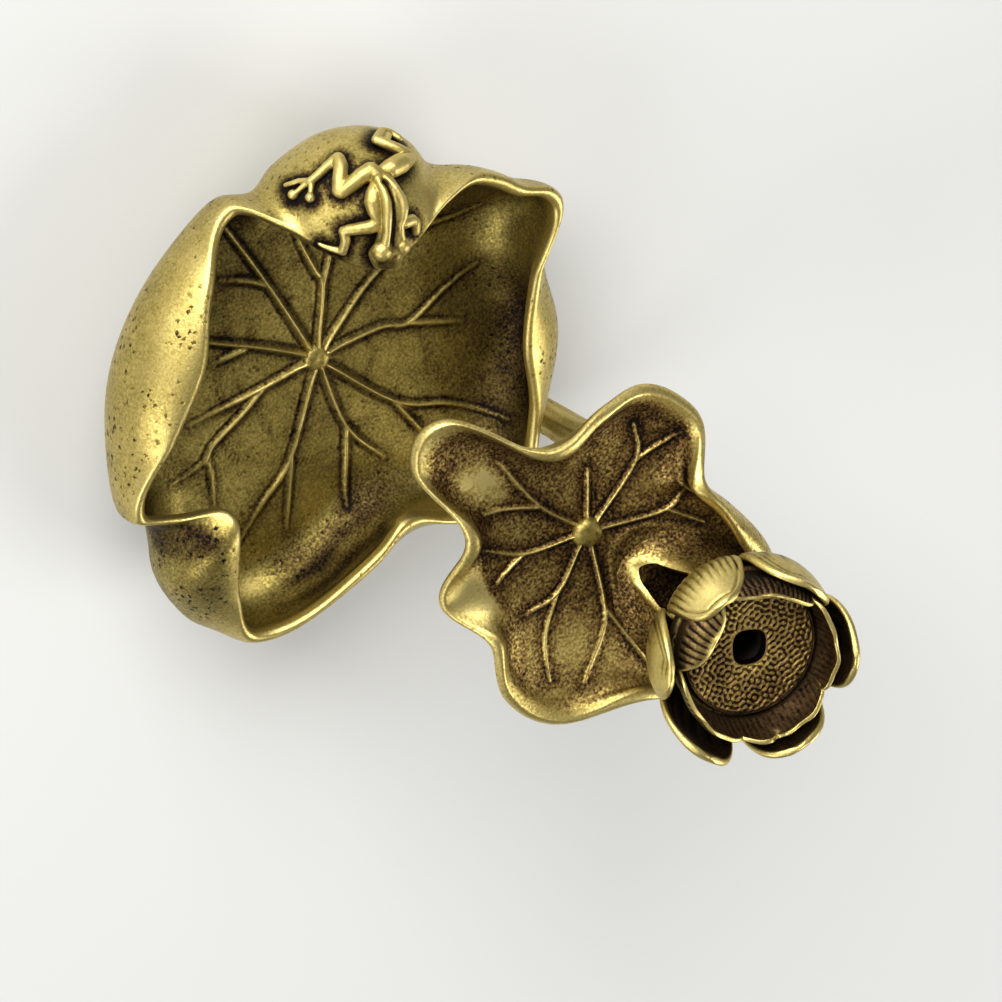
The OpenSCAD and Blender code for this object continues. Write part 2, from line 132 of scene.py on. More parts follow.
# finishes
def agedBrass(name, look):
    material = bpy.data.materials.new(name)
    material.use_nodes = True
    nodes, links = material.node_tree.nodes, material.node_tree.links
    shader = nodes["Principled BSDF"]

    def add(kind, **inputs):
        node = nodes.new(kind)
        for key, value in inputs.items():
            node.inputs[key].default_value = value
        return node

    def math2(operation, a, b, clamp=False):
        node = nodes.new("ShaderNodeMath")
        node.operation = operation
        node.use_clamp = clamp
        for socket, value in zip(node.inputs, (a, b)):
            if isinstance(value, (int, float)):
                socket.default_value = value
            else:
                links.new(value, socket)
        return node.outputs[0]

    def spread(value, low, high):
        node = add("ShaderNodeMapRange")
        node.inputs["To Min"].default_value = low
        node.inputs["To Max"].default_value = high
        links.new(value, node.inputs["Value"])
        return node.outputs[0]

    coord = nodes.new("ShaderNodeTexCoord").outputs["Object"]
    wearAndShading = nodes.new("ShaderNodeAttribute")
    wearAndShading.attribute_name = "wearAndShading"
    pitted = nodes.new("ShaderNodeAttribute")
    pitted.attribute_name = "pitted"

    fine = add("ShaderNodeTexNoise", Scale=look["grain"], Detail=4.0, Roughness=0.62)
    cloud = add("ShaderNodeTexNoise", Scale=look["cloud"], Detail=3.0, Roughness=0.55)
    pits = add("ShaderNodeTexVoronoi", Scale=look["pitScale"], Randomness=1.0)
    groups = add("ShaderNodeTexNoise", Scale=look["pitScale"] * 0.16, Detail=2.0)
    for texture in (fine, cloud, groups):
        links.new(coord, texture.inputs["Vector"])
    ragged = nodes.new("ShaderNodeVectorMath")  # the pits' outlines are uneven
    ragged.operation = "MULTIPLY_ADD"
    ragged.inputs[1].default_value = (look["ragged"],) * 3
    links.new(fine.outputs["Color"], ragged.inputs[0])
    links.new(coord, ragged.inputs[2])
    links.new(ragged.outputs[0], pits.inputs["Vector"])

    # small dark pits, in groups, only where the piece is marked as pitted
    hole = nodes.new("ShaderNodeMapRange")
    hole.interpolation_type = "SMOOTHSTEP"
    hole.inputs["From Min"].default_value = look["pitCore"]
    hole.inputs["From Max"].default_value = look["pitEdge"]
    hole.inputs["To Min"].default_value = 1.0
    hole.inputs["To Max"].default_value = 0.0
    links.new(pits.outputs["Distance"], hole.inputs["Value"])
    grouped = nodes.new("ShaderNodeMapRange")
    grouped.inputs["From Min"].default_value = look["groupFrom"]
    grouped.inputs["From Max"].default_value = look["groupTo"]
    links.new(groups.outputs["Fac"], grouped.inputs["Value"])
    pitDepth = math2("MULTIPLY", hole.outputs[0], grouped.outputs[0])
    pitDepth = math2("MULTIPLY", pitDepth, pitted.outputs["Fac"])

    speckle = math2("MULTIPLY", math2("SUBTRACT", fine.outputs["Fac"], 0.5), look["speckle"])
    mottle = math2("MULTIPLY", math2("SUBTRACT", cloud.outputs["Fac"], 0.5), look["mottle"])
    # speckle shows most where the metal is half worn
    half = math2("SUBTRACT", 1.0, math2("ABSOLUTE", math2("SUBTRACT", wearAndShading.outputs["Fac"], 0.45), 0.0))
    wornAndShading = math2("ADD", wearAndShading.outputs["Fac"], math2("MULTIPLY", math2("ADD", speckle, mottle), half))
    wornAndShading = math2("SUBTRACT", wornAndShading, math2("MULTIPLY", pitDepth, look["pitDark"]), clamp=True)

    ramp = nodes.new("ShaderNodeValToRGB")
    stops = ramp.color_ramp.elements
    stops[0].position, stops[0].color = 0.0, (*look["sootAndShade"], 1)
    stops[1].position, stops[1].color = 1.0, (*look["bright"], 1)
    for position, key in ((0.1, "dark"), (0.3, "brown"), (0.58, "dull"), (0.8, "brass")):
        stop = stops.new(position)
        stop.color = (*look[key], 1)
    links.new(wornAndShading, ramp.inputs["Fac"])
    links.new(ramp.outputs["Color"], shader.inputs["Base Color"])
    links.new(spread(wornAndShading, look["darkMetal"], 1.0), shader.inputs["Metallic"])
    links.new(spread(wornAndShading, look["darkRough"], look["brightRough"]), shader.inputs["Roughness"])

    relief = nodes.new("ShaderNodeBump")
    relief.inputs["Strength"].default_value = look["relief"]
    relief.inputs["Distance"].default_value = look["reliefDepth"]
    height = math2("SUBTRACT", fine.outputs["Fac"], math2("MULTIPLY", pitDepth, look["pitRelief"]))
    links.new(height, relief.inputs["Height"])
    links.new(relief.outputs["Normal"], shader.inputs["Normal"])
    return material


brassLook = dict(
    sootAndShade=(0.006, 0.004, 0.003), dark=(0.034, 0.019, 0.006), brown=(0.110, 0.068, 0.019),
    dull=(0.265, 0.208, 0.054), brass=(0.460, 0.355, 0.102), bright=(0.620, 0.500, 0.180),
    grain=2600.0, cloud=230.0, speckle=1.1, mottle=0.5,
    pitScale=820.0, ragged=0.0012, pitCore=0.12, pitEdge=0.32, groupFrom=0.42, groupTo=0.56,
    pitDark=0.75, pitRelief=1.6, relief=0.35, reliefDepth=0.00012,
    darkMetal=0.92, darkRough=0.6, brightRough=0.38)
leafBrass = agedBrass("leafBrass", dict(brassLook, brown=(0.108, 0.075, 0.020), speckle=1.3))
trayBrass = agedBrass("trayBrass", dict(
    brassLook, brown=(0.115, 0.060, 0.018), dull=(0.28, 0.195, 0.058),
    speckle=2.5, mottle=0.45, grain=2500.0))
petalBrass = agedBrass("petalBrass", dict(brassLook, brown=(0.115, 0.066, 0.030), speckle=0.8))
podBrass = agedBrass("podBrass", dict(
    brassLook, brown=(0.112, 0.060, 0.020), dull=(0.27, 0.18, 0.052), speckle=0.7))
frogBrass = agedBrass("frogBrass", dict(brassLook, speckle=0.7, mottle=0.3, brightRough=0.46))
stalkBrass = agedBrass("stalkBrass", dict(brassLook, mottle=0.6))
bossBrass = agedBrass("bossBrass", brassLook)
print("finishes ready")


# leaves
def rimAt(rows, deg):
    # rows of direction, end of the flat floor, rim radius and rim height
    rows = np.array(rows, float)
    turn = np.array([360.0, 0, 0, 0])
    ring = np.vstack([rows[-1] - turn, rows, rows[0] + turn, rows[1] + turn])
    deg = (deg - rows[0, 0]) % 360 + rows[0, 0]
    i = np.clip(np.searchsorted(rows[:, 0], deg, side="right") - 1, 0, len(rows) - 1)
    p, q, r, s = ring[i], ring[i + 1], ring[i + 2], ring[i + 3]
    t = ((deg - q[:, 0]) / (r - q)[:, 0])[:, None]
    return hermite(p, q, r, s, (q - p)[:, :1], (r - q)[:, :1], (s - r)[:, :1], t)


def leafPoint(leaf, deg, way, off):
    # way 0 to 1 crosses the floor, 1 to 2 climbs the bend, 2 to 3 rounds the rim
    # off goes towards the underside
    rim = rimAt(leaf["rim"], deg)
    flat, reach, rise = rim[:, 1], rim[:, 2] - rim[:, 1], rim[:, 3] - leaf["dish"]
    half = np.arctan2(rise, reach)
    radius = np.hypot(reach, rise) / (2 * np.sin(half))
    edge = leaf["wall"] / 2
    full = 2 * half - edge / radius
    onFloor = way <= 1
    climb = full * np.clip(way - 1, 0, 1) + np.sin(np.clip(way - 2, 0, 1) * math.pi / 2) * edge / radius
    slope = np.where(onFloor, np.arctan2(leaf["dish"] * 6 * way * (1 - way), flat), climb)
    x = np.where(onFloor, flat * way, flat + radius * np.sin(slope)) + off * np.sin(slope)
    bendZ = leaf["dish"] + radius * (1 - np.cos(slope))
    z = np.where(onFloor, leaf["dish"] * way**2 * (3 - 2 * way), bendZ) - off * np.cos(slope)
    unrolled = np.where(onFloor, flat * way, flat + radius * climb)
    a = np.radians(deg)
    return np.stack([x * np.cos(a), x * np.sin(a), z], 1), unrolled


def veinField(veins, x, y, startHeight, endHeight, startHalf, endHalf, runOut):
    # height of the veins, how close the crest is (1 on it), the dark line beside it,
    # and the distance to the nearest one
    height, close, beside = np.zeros_like(x), np.zeros_like(x), np.zeros_like(x)
    gap = np.full_like(x, 99.0)
    for vein in veins:
        points = [(r * math.cos(math.radians(a)), r * math.sin(math.radians(a))) for a, r in vein]
        line = curveThrough(points, 5)
        for k in range(len(line) - 1):
            p, d = line[k], line[k + 1] - line[k]
            t = np.clip(((x - p[0]) * d[0] + (y - p[1]) * d[1]) / (d @ d), 0, 1)
            away = np.hypot(x - p[0] - t * d[0], y - p[1] - t * d[1])
            thin = 1 - runOut * smooth(0.6, 1.0, (k + t) / (len(line) - 1))  # runs out towards its end
            fade = np.clip(np.hypot(p[0] + t * d[0], p[1] + t * d[1]) / 24, 0, 1)
            halfWidth = (startHalf + (endHalf - startHalf) * fade) * (0.6 + 0.4 * thin)
            tall = (startHeight + (endHeight - startHeight) * fade) * (0.12 + 0.88 * thin)
            crest = bump(away, 0, halfWidth)
            height = np.maximum(height, tall * crest)
            close = np.maximum(close, crest * (0.35 + 0.65 * thin))
            shadow = bump(away, 1.9 * halfWidth, 0.85 * halfWidth)
            beside = np.maximum(beside, shadow * (0.3 + 0.7 * thin))
            gap = np.minimum(gap, away)
    return height, close, beside * (1 - close), gap


def leafWays(floorSteps, bendSteps, rimSteps, backBend, backFloor):
    # the stations of one section: out along the inner face, round the rim, back along the underside
    front = list(np.linspace(0, 1, floorSteps + 1)) + list(np.linspace(1, 2, bendSteps + 1)[1:])
    front += list(np.linspace(2, 3, rimSteps + 1)[1:])
    back = list(np.linspace(3, 2, rimSteps + 1)[1:]) + list(np.linspace(2, 1, backBend + 1)[1:])
    back += list(np.linspace(1, 0, backFloor + 1)[1:])
    return np.array(front + back), np.array([1.0] * len(front) + [-1.0] * len(back))


def rolled(deg):
    # 1 along the stretch of the large leaf's edge that is rolled broader
    return smooth(60, 62.5, deg) * (1 - smooth(90, 102, deg))


def leafMesh(leaf, steps, around, dress):
    ways, sides = leafWays(*steps)

    def shape(along, turn):
        station = np.rint(along * (len(ways) - 1)).astype(int)
        way, side = ways[station], sides[station]
        deg = turn * 360 - 180
        rounding = np.cos(np.clip(way - 2, 0, 1) * math.pi / 2)
        # the edge is a little thicker, and on one stretch rolled broader
        bead = leaf["bead"] * smooth(1.72, 1.92, way) * rounding * (side > 0)
        bead = bead * (1 - leaf["plain"] * plateau(turnDistance(deg, -22), 16))
        roll = leaf["roll"] * rolled(deg) * smooth(1.5, 1.72, way) * rounding * (side > 0)
        off = leaf["wall"] / 2 * (1 - side * rounding) - bead - roll
        base, unrolled = leafPoint(leaf, deg, way, off)
        move, marks = dress(deg, way, side, unrolled, base)
        places, unrolled = leafPoint(leaf, deg, way, off + move)
        return places, marks

    return gridMesh(len(ways) - 1, around, shape)


largeLeaf = dict(
    wall=1.8, dish=0.8, floorZ=6.4, bead=0.15, plain=0.0, roll=0.5,
    veinSize=(0.62, 0.36, 0.46, 0.34, 0.7), fineSize=(0.10, 0.08, 0.2, 0.2, 0.75), star=0.45,
    floorTone=0.44, outerTone=0.76, rimTone=0.90,
    rim=[
        (-179, 21.5, 33.6, 15.4), (-172, 19.5, 32.6, 15.8), (-166, 18.5, 31.2, 16.2),
        (-160, 20, 27.2, 16.9),
        (-152, 23.4, 21.7, 17.4), (-136, 23.9, 19, 17), (-121, 22, 21.4, 15.5), (-113, 20, 25, 13.2),
        (-104, 21.4, 29.2, 11),
        (-86, 21.3, 25.8, 14.5), (-64, 22, 23, 16), (-40, 23.5, 26, 15.5), (-22, 24.2, 32.2, 14),
        (-17, 24.2, 28.6, 13.7),
        (-12.5, 24.3, 24.1, 14.3), (-8, 25, 23.3, 15.7), (-3, 26.8, 24.6, 16.2), (4, 29, 27.5, 15.2),
        (12, 31, 31.6, 13.4),
        (22, 29.8, 35.9, 12.5), (42, 22.6, 27.2, 13.5), (52, 19.2, 24, 13.6), (62, 17.6, 21.2, 13.4),
        (71, 18.2, 22, 12.6), (82, 20.2, 27.4, 11.5),
        (96, 22.5, 31.5, 11.5), (116, 24, 28, 12), (140, 25, 25, 13), (160, 23.3, 28.2, 14),
        (170, 23.2, 35.5, 14.6),
        (175, 23.2, 36.1, 15)],
    veins=[
        [(-103, 1.5), (-104, 12.6), (-103, 22), (-102, 27)], [(-103, 13.7), (-97, 16), (-89, 19)],
        [(-146, 1.5), (-141, 10.4), (-135, 12.4), (-127, 17.4), (-125, 22)], [(-141, 10.4), (-143, 15),
         (-143, 22)],
        [(180, 1.5), (-172, 9.2), (-173, 14), (-177, 22), (177, 27), (175, 31)],
        [(157, 1.5), (153, 10), (148, 14), (156, 20), (159, 26)], [(148, 14), (141, 22)],
        [(95, 1.5), (100, 14.2), (109, 22), (111, 31)], [(99, 14.4), (94, 21.5)],
        [(68, 1.5), (66, 11.5), (76, 19)], [(65, 11.8), (58, 17), (54, 22.6)],
        [(38, 1.5), (28, 15), (22, 21.3), (19, 28)], [(29, 15), (33, 25)],
        [(-20, 1.5), (-24, 10.5), (-26, 20)], [(-23, 8.7), (-15, 13), (-12, 18.7), (-9, 21), (-11, 26.5)],
        [(-10, 20.4), (-3, 21.5), (5, 24.4)],
        [(-70, 1.5), (-64, 8.6), (-62, 15), (-62, 21)], [(-60, 11), (-51, 15)]],
    fineVeins=[
        [(-9, 17.2), (1, 17.6), (19, 16.1)], [(32, 15), (44, 14.6), (57, 13.4)], [(66, 11.5),
         (80, 12.6), (92, 15)],
        [(141, 15.5), (130, 16.6), (117, 17)], [(-101, 9), (-112, 9.6), (-124, 9)], [(-62, 10),
         (-80, 11), (-98, 10)],
        [(-25, 14), (-42, 14.6), (-58, 13)], [(104, 17), (92, 18.4), (80, 18)], [(-172, 12),
         (172, 12.8), (158, 12)],
        [(150, 8), (128, 8.6), (106, 8)], [(28, 11), (10, 11.6), (-14, 11)]])


# the frog lies on the outside of the large leaf, so its places are settled before the leaf is coloured
# points: direction on the rim, share of the wall's bend, height above it, radius
frog = dict(
    voxel=0.13, middle=(-138, 0.75, 0), span=16, shadeReach=1.2, tone=0.84,
    grooveDepth=0.4, grooveWidth=0.42, chin=(-139, 0.957, 2.5), chinR=1.5,
    chains=[
        [(-138.8, 0.715, 0.9, 1.5), (-139.7, 0.751, 0.9, 1.8), (-140.1, 0.786, 0.9, 1.95),
         (-140.4, 0.821, 0.9, 1.9),
         (-140.2, 0.855, 0.9, 1.7), (-140.2, 0.89, 0.9, 1.8), (-140.4, 0.925, 0.9, 2.15),
         (-140.6, 0.945, 0.7, 2.1)],
        [(-136.6, 0.717, 1.2, 0.8), (-135.6, 0.743, 1.3, 1.1), (-135.1, 0.766, 1.3, 1.2),
         (-135.3, 0.793, 1.2, 1.0),
         (-136.4, 0.824, 1.1, 0.7)],
        [(-136.9, 0.705, 1.9, 0.6), (-137.6, 0.739, 2.3, 0.72), (-138, 0.77, 2.4, 0.78),
         (-138, 0.8, 2.4, 0.74),
         (-137.9, 0.831, 2.3, 0.68), (-138.1, 0.856, 2.2, 0.62), (-137.5, 0.885, 2.2, 0.7)],
        [(-138.5, 0.705, 2.0, 0.45), (-140.5, 0.741, 2.4, 0.52), (-142.2, 0.776, 2.4, 0.6),
         (-142.8, 0.805, 2.4, 0.6),
         (-142.6, 0.829, 2.3, 0.55), (-141.8, 0.848, 2.3, 0.5), (-142.4, 0.875, 2.2, 0.5),
         (-143.4, 0.9, 2.1, 0.55)],
        [(-136.8, 0.912, 1.9, 1.45)], [(-143.6, 0.918, 1.9, 1.25)],
        [(-136.8, 0.935, 0.8, 1.3), (-138.5, 0.968, 0.6, 1.2), (-142.2, 0.975, 0.6, 1.2),
         (-144.4, 0.95, 0.8, 1.1)],
        [(-137.9, 0.695, 0.9, 1.15), (-136.3, 0.671, 0.95, 1.25), (-133.9, 0.683, 0.9, 1.15),
         (-131.3, 0.708, 0.8, 1.05),
         (-128.9, 0.732, 0.7, 0.95)],
        [(-128.4, 0.729, 0.7, 0.95), (-129.5, 0.684, 0.75, 1.05), (-130.7, 0.637, 0.7, 1.0),
         (-130.9, 0.605, 0.65, 0.9)],
        [(-130.8, 0.602, 0.6, 0.85), (-128.1, 0.626, 0.5, 0.68), (-125.7, 0.656, 0.45, 0.62),
         (-123.6, 0.681, 0.4, 0.58)],
        [(-123.8, 0.677, 0.35, 0.46), (-121.7, 0.666, 0.3, 0.4), (-119, 0.675, 0.25, 0.36)],
        [(-123.2, 0.682, 0.35, 0.46), (-121.1, 0.711, 0.3, 0.4), (-119.1, 0.745, 0.3, 0.4)],
        [(-119.1, 0.745, 0.35, 0.72)],
        [(-124, 0.682, 0.35, 0.46), (-123.1, 0.718, 0.3, 0.4), (-122.1, 0.759, 0.3, 0.4)],
        [(-122.1, 0.759, 0.35, 0.72)],
        [(-139.4, 0.678, 0.9, 0.95), (-141.5, 0.675, 1.0, 1.35), (-144.1, 0.666, 1.0, 1.4),
         (-147, 0.658, 0.9, 0.9)],
        [(-147.3, 0.637, 0.8, 0.75), (-144.5, 0.606, 0.8, 0.75), (-142.1, 0.578, 0.7, 0.72),
         (-140.5, 0.554, 0.6, 0.7)],
        [(-140.9, 0.545, 0.5, 0.65), (-143.4, 0.5, 0.4, 0.6), (-145.3, 0.51, 0.4, 0.55),
         (-147.1, 0.545, 0.4, 0.5)],
        [(-142.2, 0.575, 0.4, 0.5), (-144.3, 0.53, 0.4, 0.5)],
        [(-136.4, 0.84, 0.8, 0.8), (-134.4, 0.841, 0.9, 0.95), (-131.4, 0.851, 0.9, 0.85),
         (-128.3, 0.868, 0.8, 0.75),
         (-126.9, 0.882, 0.7, 0.72)],
        [(-127, 0.88, 0.65, 0.72), (-127.1, 0.912, 0.65, 0.7), (-126.3, 0.949, 0.55, 0.65),
         (-125.7, 0.968, 0.5, 0.6)],
        [(-126, 0.968, 0.45, 0.58), (-122.7, 0.985, 0.4, 0.42), (-119.8, 0.995, 0.35, 0.26)],
        [(-145, 0.861, 0.7, 0.85), (-147.4, 0.867, 0.7, 0.82), (-149.1, 0.889, 0.6, 0.75),
         (-150.1, 0.93, 0.5, 0.65)]],
    groove=[(-137.8, 0.72), (-138.6, 0.754), (-139.4, 0.787), (-139.9, 0.821), (-139.9, 0.851),
            (-139.8, 0.885), (-140.8, 0.927)])


def onLobe(point):
    deg, share, height = point[:3]
    way, off = np.array([1.0 + share]), np.array([largeLeaf["wall"] + height])
    place, _ = leafPoint(largeLeaf, np.array([float(deg)]), way, off)
    return Vector(place[0])


def frogForms():
    # centre, radius, way up and height of balls that lie close enough to merge into one body
    forms = []
    for chain in frog["chains"]:
        for k in range(max(1, len(chain) - 1)):
            first, last = chain[k], chain[min(k + 1, len(chain) - 1)]
            gap = (onLobe(last) - onLobe(first)).length
            count = max(1, int(gap / (0.25 * min(first[3], last[3]))) + 1)
            for j in range(count + 1):
                point = [first[m] + (last[m] - first[m]) * j / count for m in range(4)]
                centre = onLobe(point)
                up = onLobe((point[0], point[1], point[2] + 1)) - centre
                forms.append((centre, point[3], up, point[2]))
    return forms


def frogShade(points):
    # 1 right beside the frog, 0 away from it
    shade = np.zeros(len(points))
    near = np.linalg.norm(points - np.array(onLobe(frog["middle"])), axis=1) < frog["span"]
    close = points[near]
    best = np.full(len(close), 99.0)
    for centre, radius, _, _ in frogForms():
        best = np.minimum(best, np.linalg.norm(close - np.array(centre), axis=1) - radius)
    shade[near] = bump(np.maximum(best - 0.2, 0), 0, frog["shadeReach"])
    return shade


def dressLargeLeaf(deg, way, side, unrolled, base):
    a = np.radians(deg)
    x, y = unrolled * np.cos(a), unrolled * np.sin(a)
    inside = side > 0
    height, close, beside, gap = veinField(largeLeaf["veins"], x, y, *largeLeaf["veinSize"])
    fineHeight, _, fineBeside, _ = veinField(largeLeaf["fineVeins"], x, y, *largeLeaf["fineSize"])
    rimward = smooth(1.86, 2.05, way)
    keep = 1 - smooth(1.35, 1.8, way)
    broad, medium = lumps(base, 7.0), lumps(base, 2.4, 3.0)
    star = largeLeaf["star"] * plateau(unrolled, 1.9 + 0.6 * close)
    move = -np.where(inside, (height - 0.12 * beside + fineHeight) * keep + star + 0.12 * broad * keep, 0.0)
    move -= np.where(inside, 0.0, 0.16 * (0.5 + 0.5 * broad) * smooth(1.05, 1.4, way) * (1 - rimward))
    # inside: olive between the veins, brown beside them; painted shade under the rolled rims, brown and
    # painted shade towards the stalk, painted light (lit) facing 40 degrees
    lit = np.cos(np.radians(deg - 40)) * smooth(4, 16, unrolled)
    floorTone = largeLeaf["floorTone"] + 0.13 * smooth(0.5, 2.6, gap) + 0.03 * lit
    floorTone = floorTone + 0.09 * broad + 0.06 * medium
    lightWalls = ((14, 22), (76, 18), (164, 15))  # directions and widths of the walls that stay light
    # these walls are kept free of the painted shade below, as if lit
    litArea = sum(bump(turnDistance(deg, centre), 0, width) for centre, width in lightWalls)
    litArea = litArea + bump(turnDistance(deg, 46), 0, 18) * (1 - smooth(1.35, 1.5, way))
    shade = 0.24 * smooth(0.95, 1.35, way) * (1 - 0.9 * np.minimum(litArea, 1))
    shade = shade + 0.12 * bump(turnDistance(deg, -100), 0, 40) * smooth(10, 18, unrolled)
    towardsStalk = 0.28 * bump(turnDistance(deg, 131), 0, 22) * smooth(0.6, 1.1, way)
    wearAndShadingIn = floorTone - shade - towardsStalk - 0.34 * beside * keep
    wearAndShadingIn = wearAndShadingIn + 0.48 * close * keep - 0.2 * fineBeside * keep
    wearAndShadingIn = wearAndShadingIn + 0.12 * bump(unrolled, 0, 2.6)
    # the wall on the stalk's near side is streaked with brown along its rim
    streak = plateau(turnDistance(deg, 47), 17) * smooth(1.2, 1.45, way) * (1 - rimward)
    wearAndShadingIn = wearAndShadingIn - streak * (0.16 + 0.14 * np.sin(way * 26 + 0.05 * deg + 2 * broad))
    # painted highlight low on the wall at 25 degrees
    wearAndShadingIn = wearAndShadingIn + 0.2 * bump(turnDistance(deg, 25), 0, 9) * bump(way, 1.3, 0.16)
    # painted shade along the bend from 25 to 86 degrees, dimming the lamp's highlight there
    wearAndShadingIn = wearAndShadingIn - 0.34 * smooth(25, 36, deg) * (1 - smooth(70, 86, deg)) * bump(way, 1.27, 0.2)
    wearAndShadingIn = wearAndShadingIn + 0.3 * rolled(deg) * smooth(1.5, 1.7, way)
    wearAndShadingOut = largeLeaf["outerTone"] + 0.10 * broad + 0.05 * medium - 0.42 * (1 - smooth(0.8, 1.25, way))
    # the folded flap is olive, with a stippled painted shadow under its overhanging lip
    wearAndShadingOut = wearAndShadingOut - 0.22 * plateau(turnDistance(deg, -6), 16)
    lipShadow = (1 - smooth(-8.5, -5.0, deg - 12 * (way - 1.75))) * smooth(-20, -16, deg)
    lipShadow = lipShadow * smooth(1.45, 1.62, way)
    wearAndShadingOut = wearAndShadingOut - 0.4 * lipShadow * (0.8 + 0.5 * medium)
    wearAndShading = np.where(inside, wearAndShadingIn, wearAndShadingOut)
    wearAndShading = wearAndShading * (1 - rimward) + (largeLeaf["rimTone"] + 0.08 * medium) * rimward
    # the frog's lobe is bright and smooth, with patina in the hollows round the frog
    lobe = plateau(turnDistance(deg, -138), 22)
    wearAndShading = np.where(inside, wearAndShading, wearAndShading + 0.12 * lobe * (1 - rimward) - 0.9 * frogShade(base))
    pitted = np.where(inside, 0.35 * keep, smooth(1.1, 1.4, way) * (1 - 0.6 * lobe)) * (1 - 0.5 * rimward)
    return move, {"wearAndShading": wearAndShading, "pitted": pitted}


largePlace = Matrix.Translation((0, 0, largeLeaf["floorZ"] * mm))
largeMesh = leafMesh(largeLeaf, (48, 44, 6, 50, 4), 590, dressLargeLeaf)
finishPiece(largeMesh, "largeLotusLeaf", "base", leafBrass, ["large_leaf"], largePlace)

smallLeaf = dict(
    wall=1.5, dish=0.0, bead=0.5, plain=1.0, roll=0.0,
    veinSize=(0.46, 0.32, 0.30, 0.24, 0.35), star=0.3,
    floorTone=0.17, cellTone=0.31, outerTone=0.80, rimTone=0.92,
    rim=[
        (-172, 9, 21, 3), (-156, 9, 20.5, 3), (-140, 8.5, 17, 4.5), (-118, 8, 13.5, 6),
        (-100, 9, 16, 5.5),
        (-88, 11, 26.5, 2.5), (-72, 12, 26.5, 1.5), (-60, 10.5, 18.5, 4.5), (-48, 10, 17, 4.5),
        (-26, 10, 21.5, 0.8), (-5, 11, 18.5, 4), (14, 12, 24, 2.5), (32, 14, 26, 2), (60, 20, 23.5, 3),
        (77, 26, 28, 1.2), (95, 29.5, 31, 0.8), (111, 26.4, 27.6, 2), (124, 21.4, 20.6, 4.4),
        (142, 14.3, 16.2, 5.8),
        (160, 9, 14.5, 6), (176, 9, 20, 3.5)],
    veins=[
        [(-88, 1.3), (-80, 8), (-88, 16.4)], [(-78, 7.9), (-70, 11), (-63, 15)],
        [(-35, 1.3), (-34, 9), (-45, 15)], [(-34, 9), (-24, 13.6)],
        [(12, 1.3), (16, 8.8), (4, 13.2)], [(16, 9), (20, 14.8), (28, 20.5)],
        [(66, 1.3), (57, 11), (51, 15.2), (42, 20.7)], [(58, 11.4), (68, 21.5)],
        [(176, 1.3), (-173, 11.4), (-160, 15.5)], [(-173, 11.4), (179, 18.5)],
        [(142, 1.3), (143, 11.3), (154, 14.5)], [(143, 11.4), (132, 16.5)],
        [(-138, 1.3), (-137, 8.5)]])
trayPlace = Matrix.Translation((-5.3 * mm, 24.5 * mm, 47.4 * mm)) @ Matrix.Rotation(math.radians(8), 4, "X")


def dressSmallLeaf(deg, way, side, unrolled, base):
    a = np.radians(deg)
    x, y = unrolled * np.cos(a), unrolled * np.sin(a)
    inside = side > 0
    height, close, beside, gap = veinField(smallLeaf["veins"], x, y, *smallLeaf["veinSize"])
    rimward = smooth(1.8, 2.0, way)
    keep = 1 - smooth(1.55, 1.9, way)
    broad, medium = lumps(base, 5.0, 7.0), lumps(base, 1.8, 9.0)
    star = smallLeaf["star"] * plateau(unrolled, 1.3 + 0.6 * close)
    # the left-hand lobe humps up before its edge turns down
    hump = 0.8 * plateau(turnDistance(deg, -22), 15) * bump(unrolled, 15.4, 2.6)
    move = -np.where(inside, (height - 0.1 * beside) * keep + star + 0.07 * broad * keep, 0.0) - hump
    # folds run round the mouth of the smoke neck
    fx, fy = base[:, 0] + 2, base[:, 1] - 19
    front = bump(turnDistance(np.degrees(np.arctan2(fy, fx)), -91), 0, 30)
    out = np.hypot(fx, fy) - 9.3 - 5.3 * front
    ridge = bump(out, 0, 0.4) * inside
    valley = (bump(out, -1.1, 0.5) + 0.8 * bump(out, 1.0, 0.5)) * inside
    move -= 0.22 * ridge - 0.08 * valley
    fold = plateau(turnDistance(deg, 146), 20) * inside
    move -= 0.4 * fold * bump(way, 1.66, 0.07)
    cell = smooth(0.45, 2.4, gap)
    floorTone = smallLeaf["floorTone"] + smallLeaf["cellTone"] * cell * (0.85 + 0.4 * medium) + 0.10 * broad
    right = 0.28 * bump(turnDistance(deg, 38), 0, 30) * smooth(8, 17, unrolled)
    # a bright patch on the left lobe: partly rubbed metal, partly a painted highlight
    tongue = (0.58 + 0.3 * medium) * bump(turnDistance(deg, -75), 0, 10)
    tongue = tongue * smooth(12, 14.5, unrolled) * (1 - smooth(18, 22, unrolled))
    # painted highlight on the flat face of the turned-down lobe
    litArea = 0.75 * plateau(turnDistance(deg, -22), 15) * smooth(14.8, 15.8, unrolled)
    edgeShade = 0.12 * smooth(1.2, 1.6, way)
    wearAndShadingIn = floorTone + right + tongue + litArea - 0.14 * beside * keep + 0.72 * close * keep - edgeShade
    wearAndShadingIn = wearAndShadingIn + 0.45 * bump(unrolled, 0, 1.7)
    wearAndShading = np.where(inside, wearAndShadingIn, smallLeaf["outerTone"] + 0.10 * broad)
    wearAndShading = wearAndShading * (1 - rimward) + (smallLeaf["rimTone"] + 0.06 * medium) * rimward
    wearAndShading = wearAndShading + fold * (0.6 * bump(way, 1.66, 0.06) - 0.9 * bump(way, 1.82, 0.06))
    wearAndShading = wearAndShading + 0.14 * ridge - 0.14 * valley
    # soot and painted shade lie under the flower, inside the smoke neck
    sootAndShade = inside * (1 - smooth(7.2, 8.4, np.hypot(fx, fy)))
    wearAndShading = wearAndShading * (1 - sootAndShade) + 0.1 * sootAndShade
    pitted = np.where(inside, 0.15, 0.6)
    return move, {"wearAndShading": wearAndShading, "pitted": pitted}


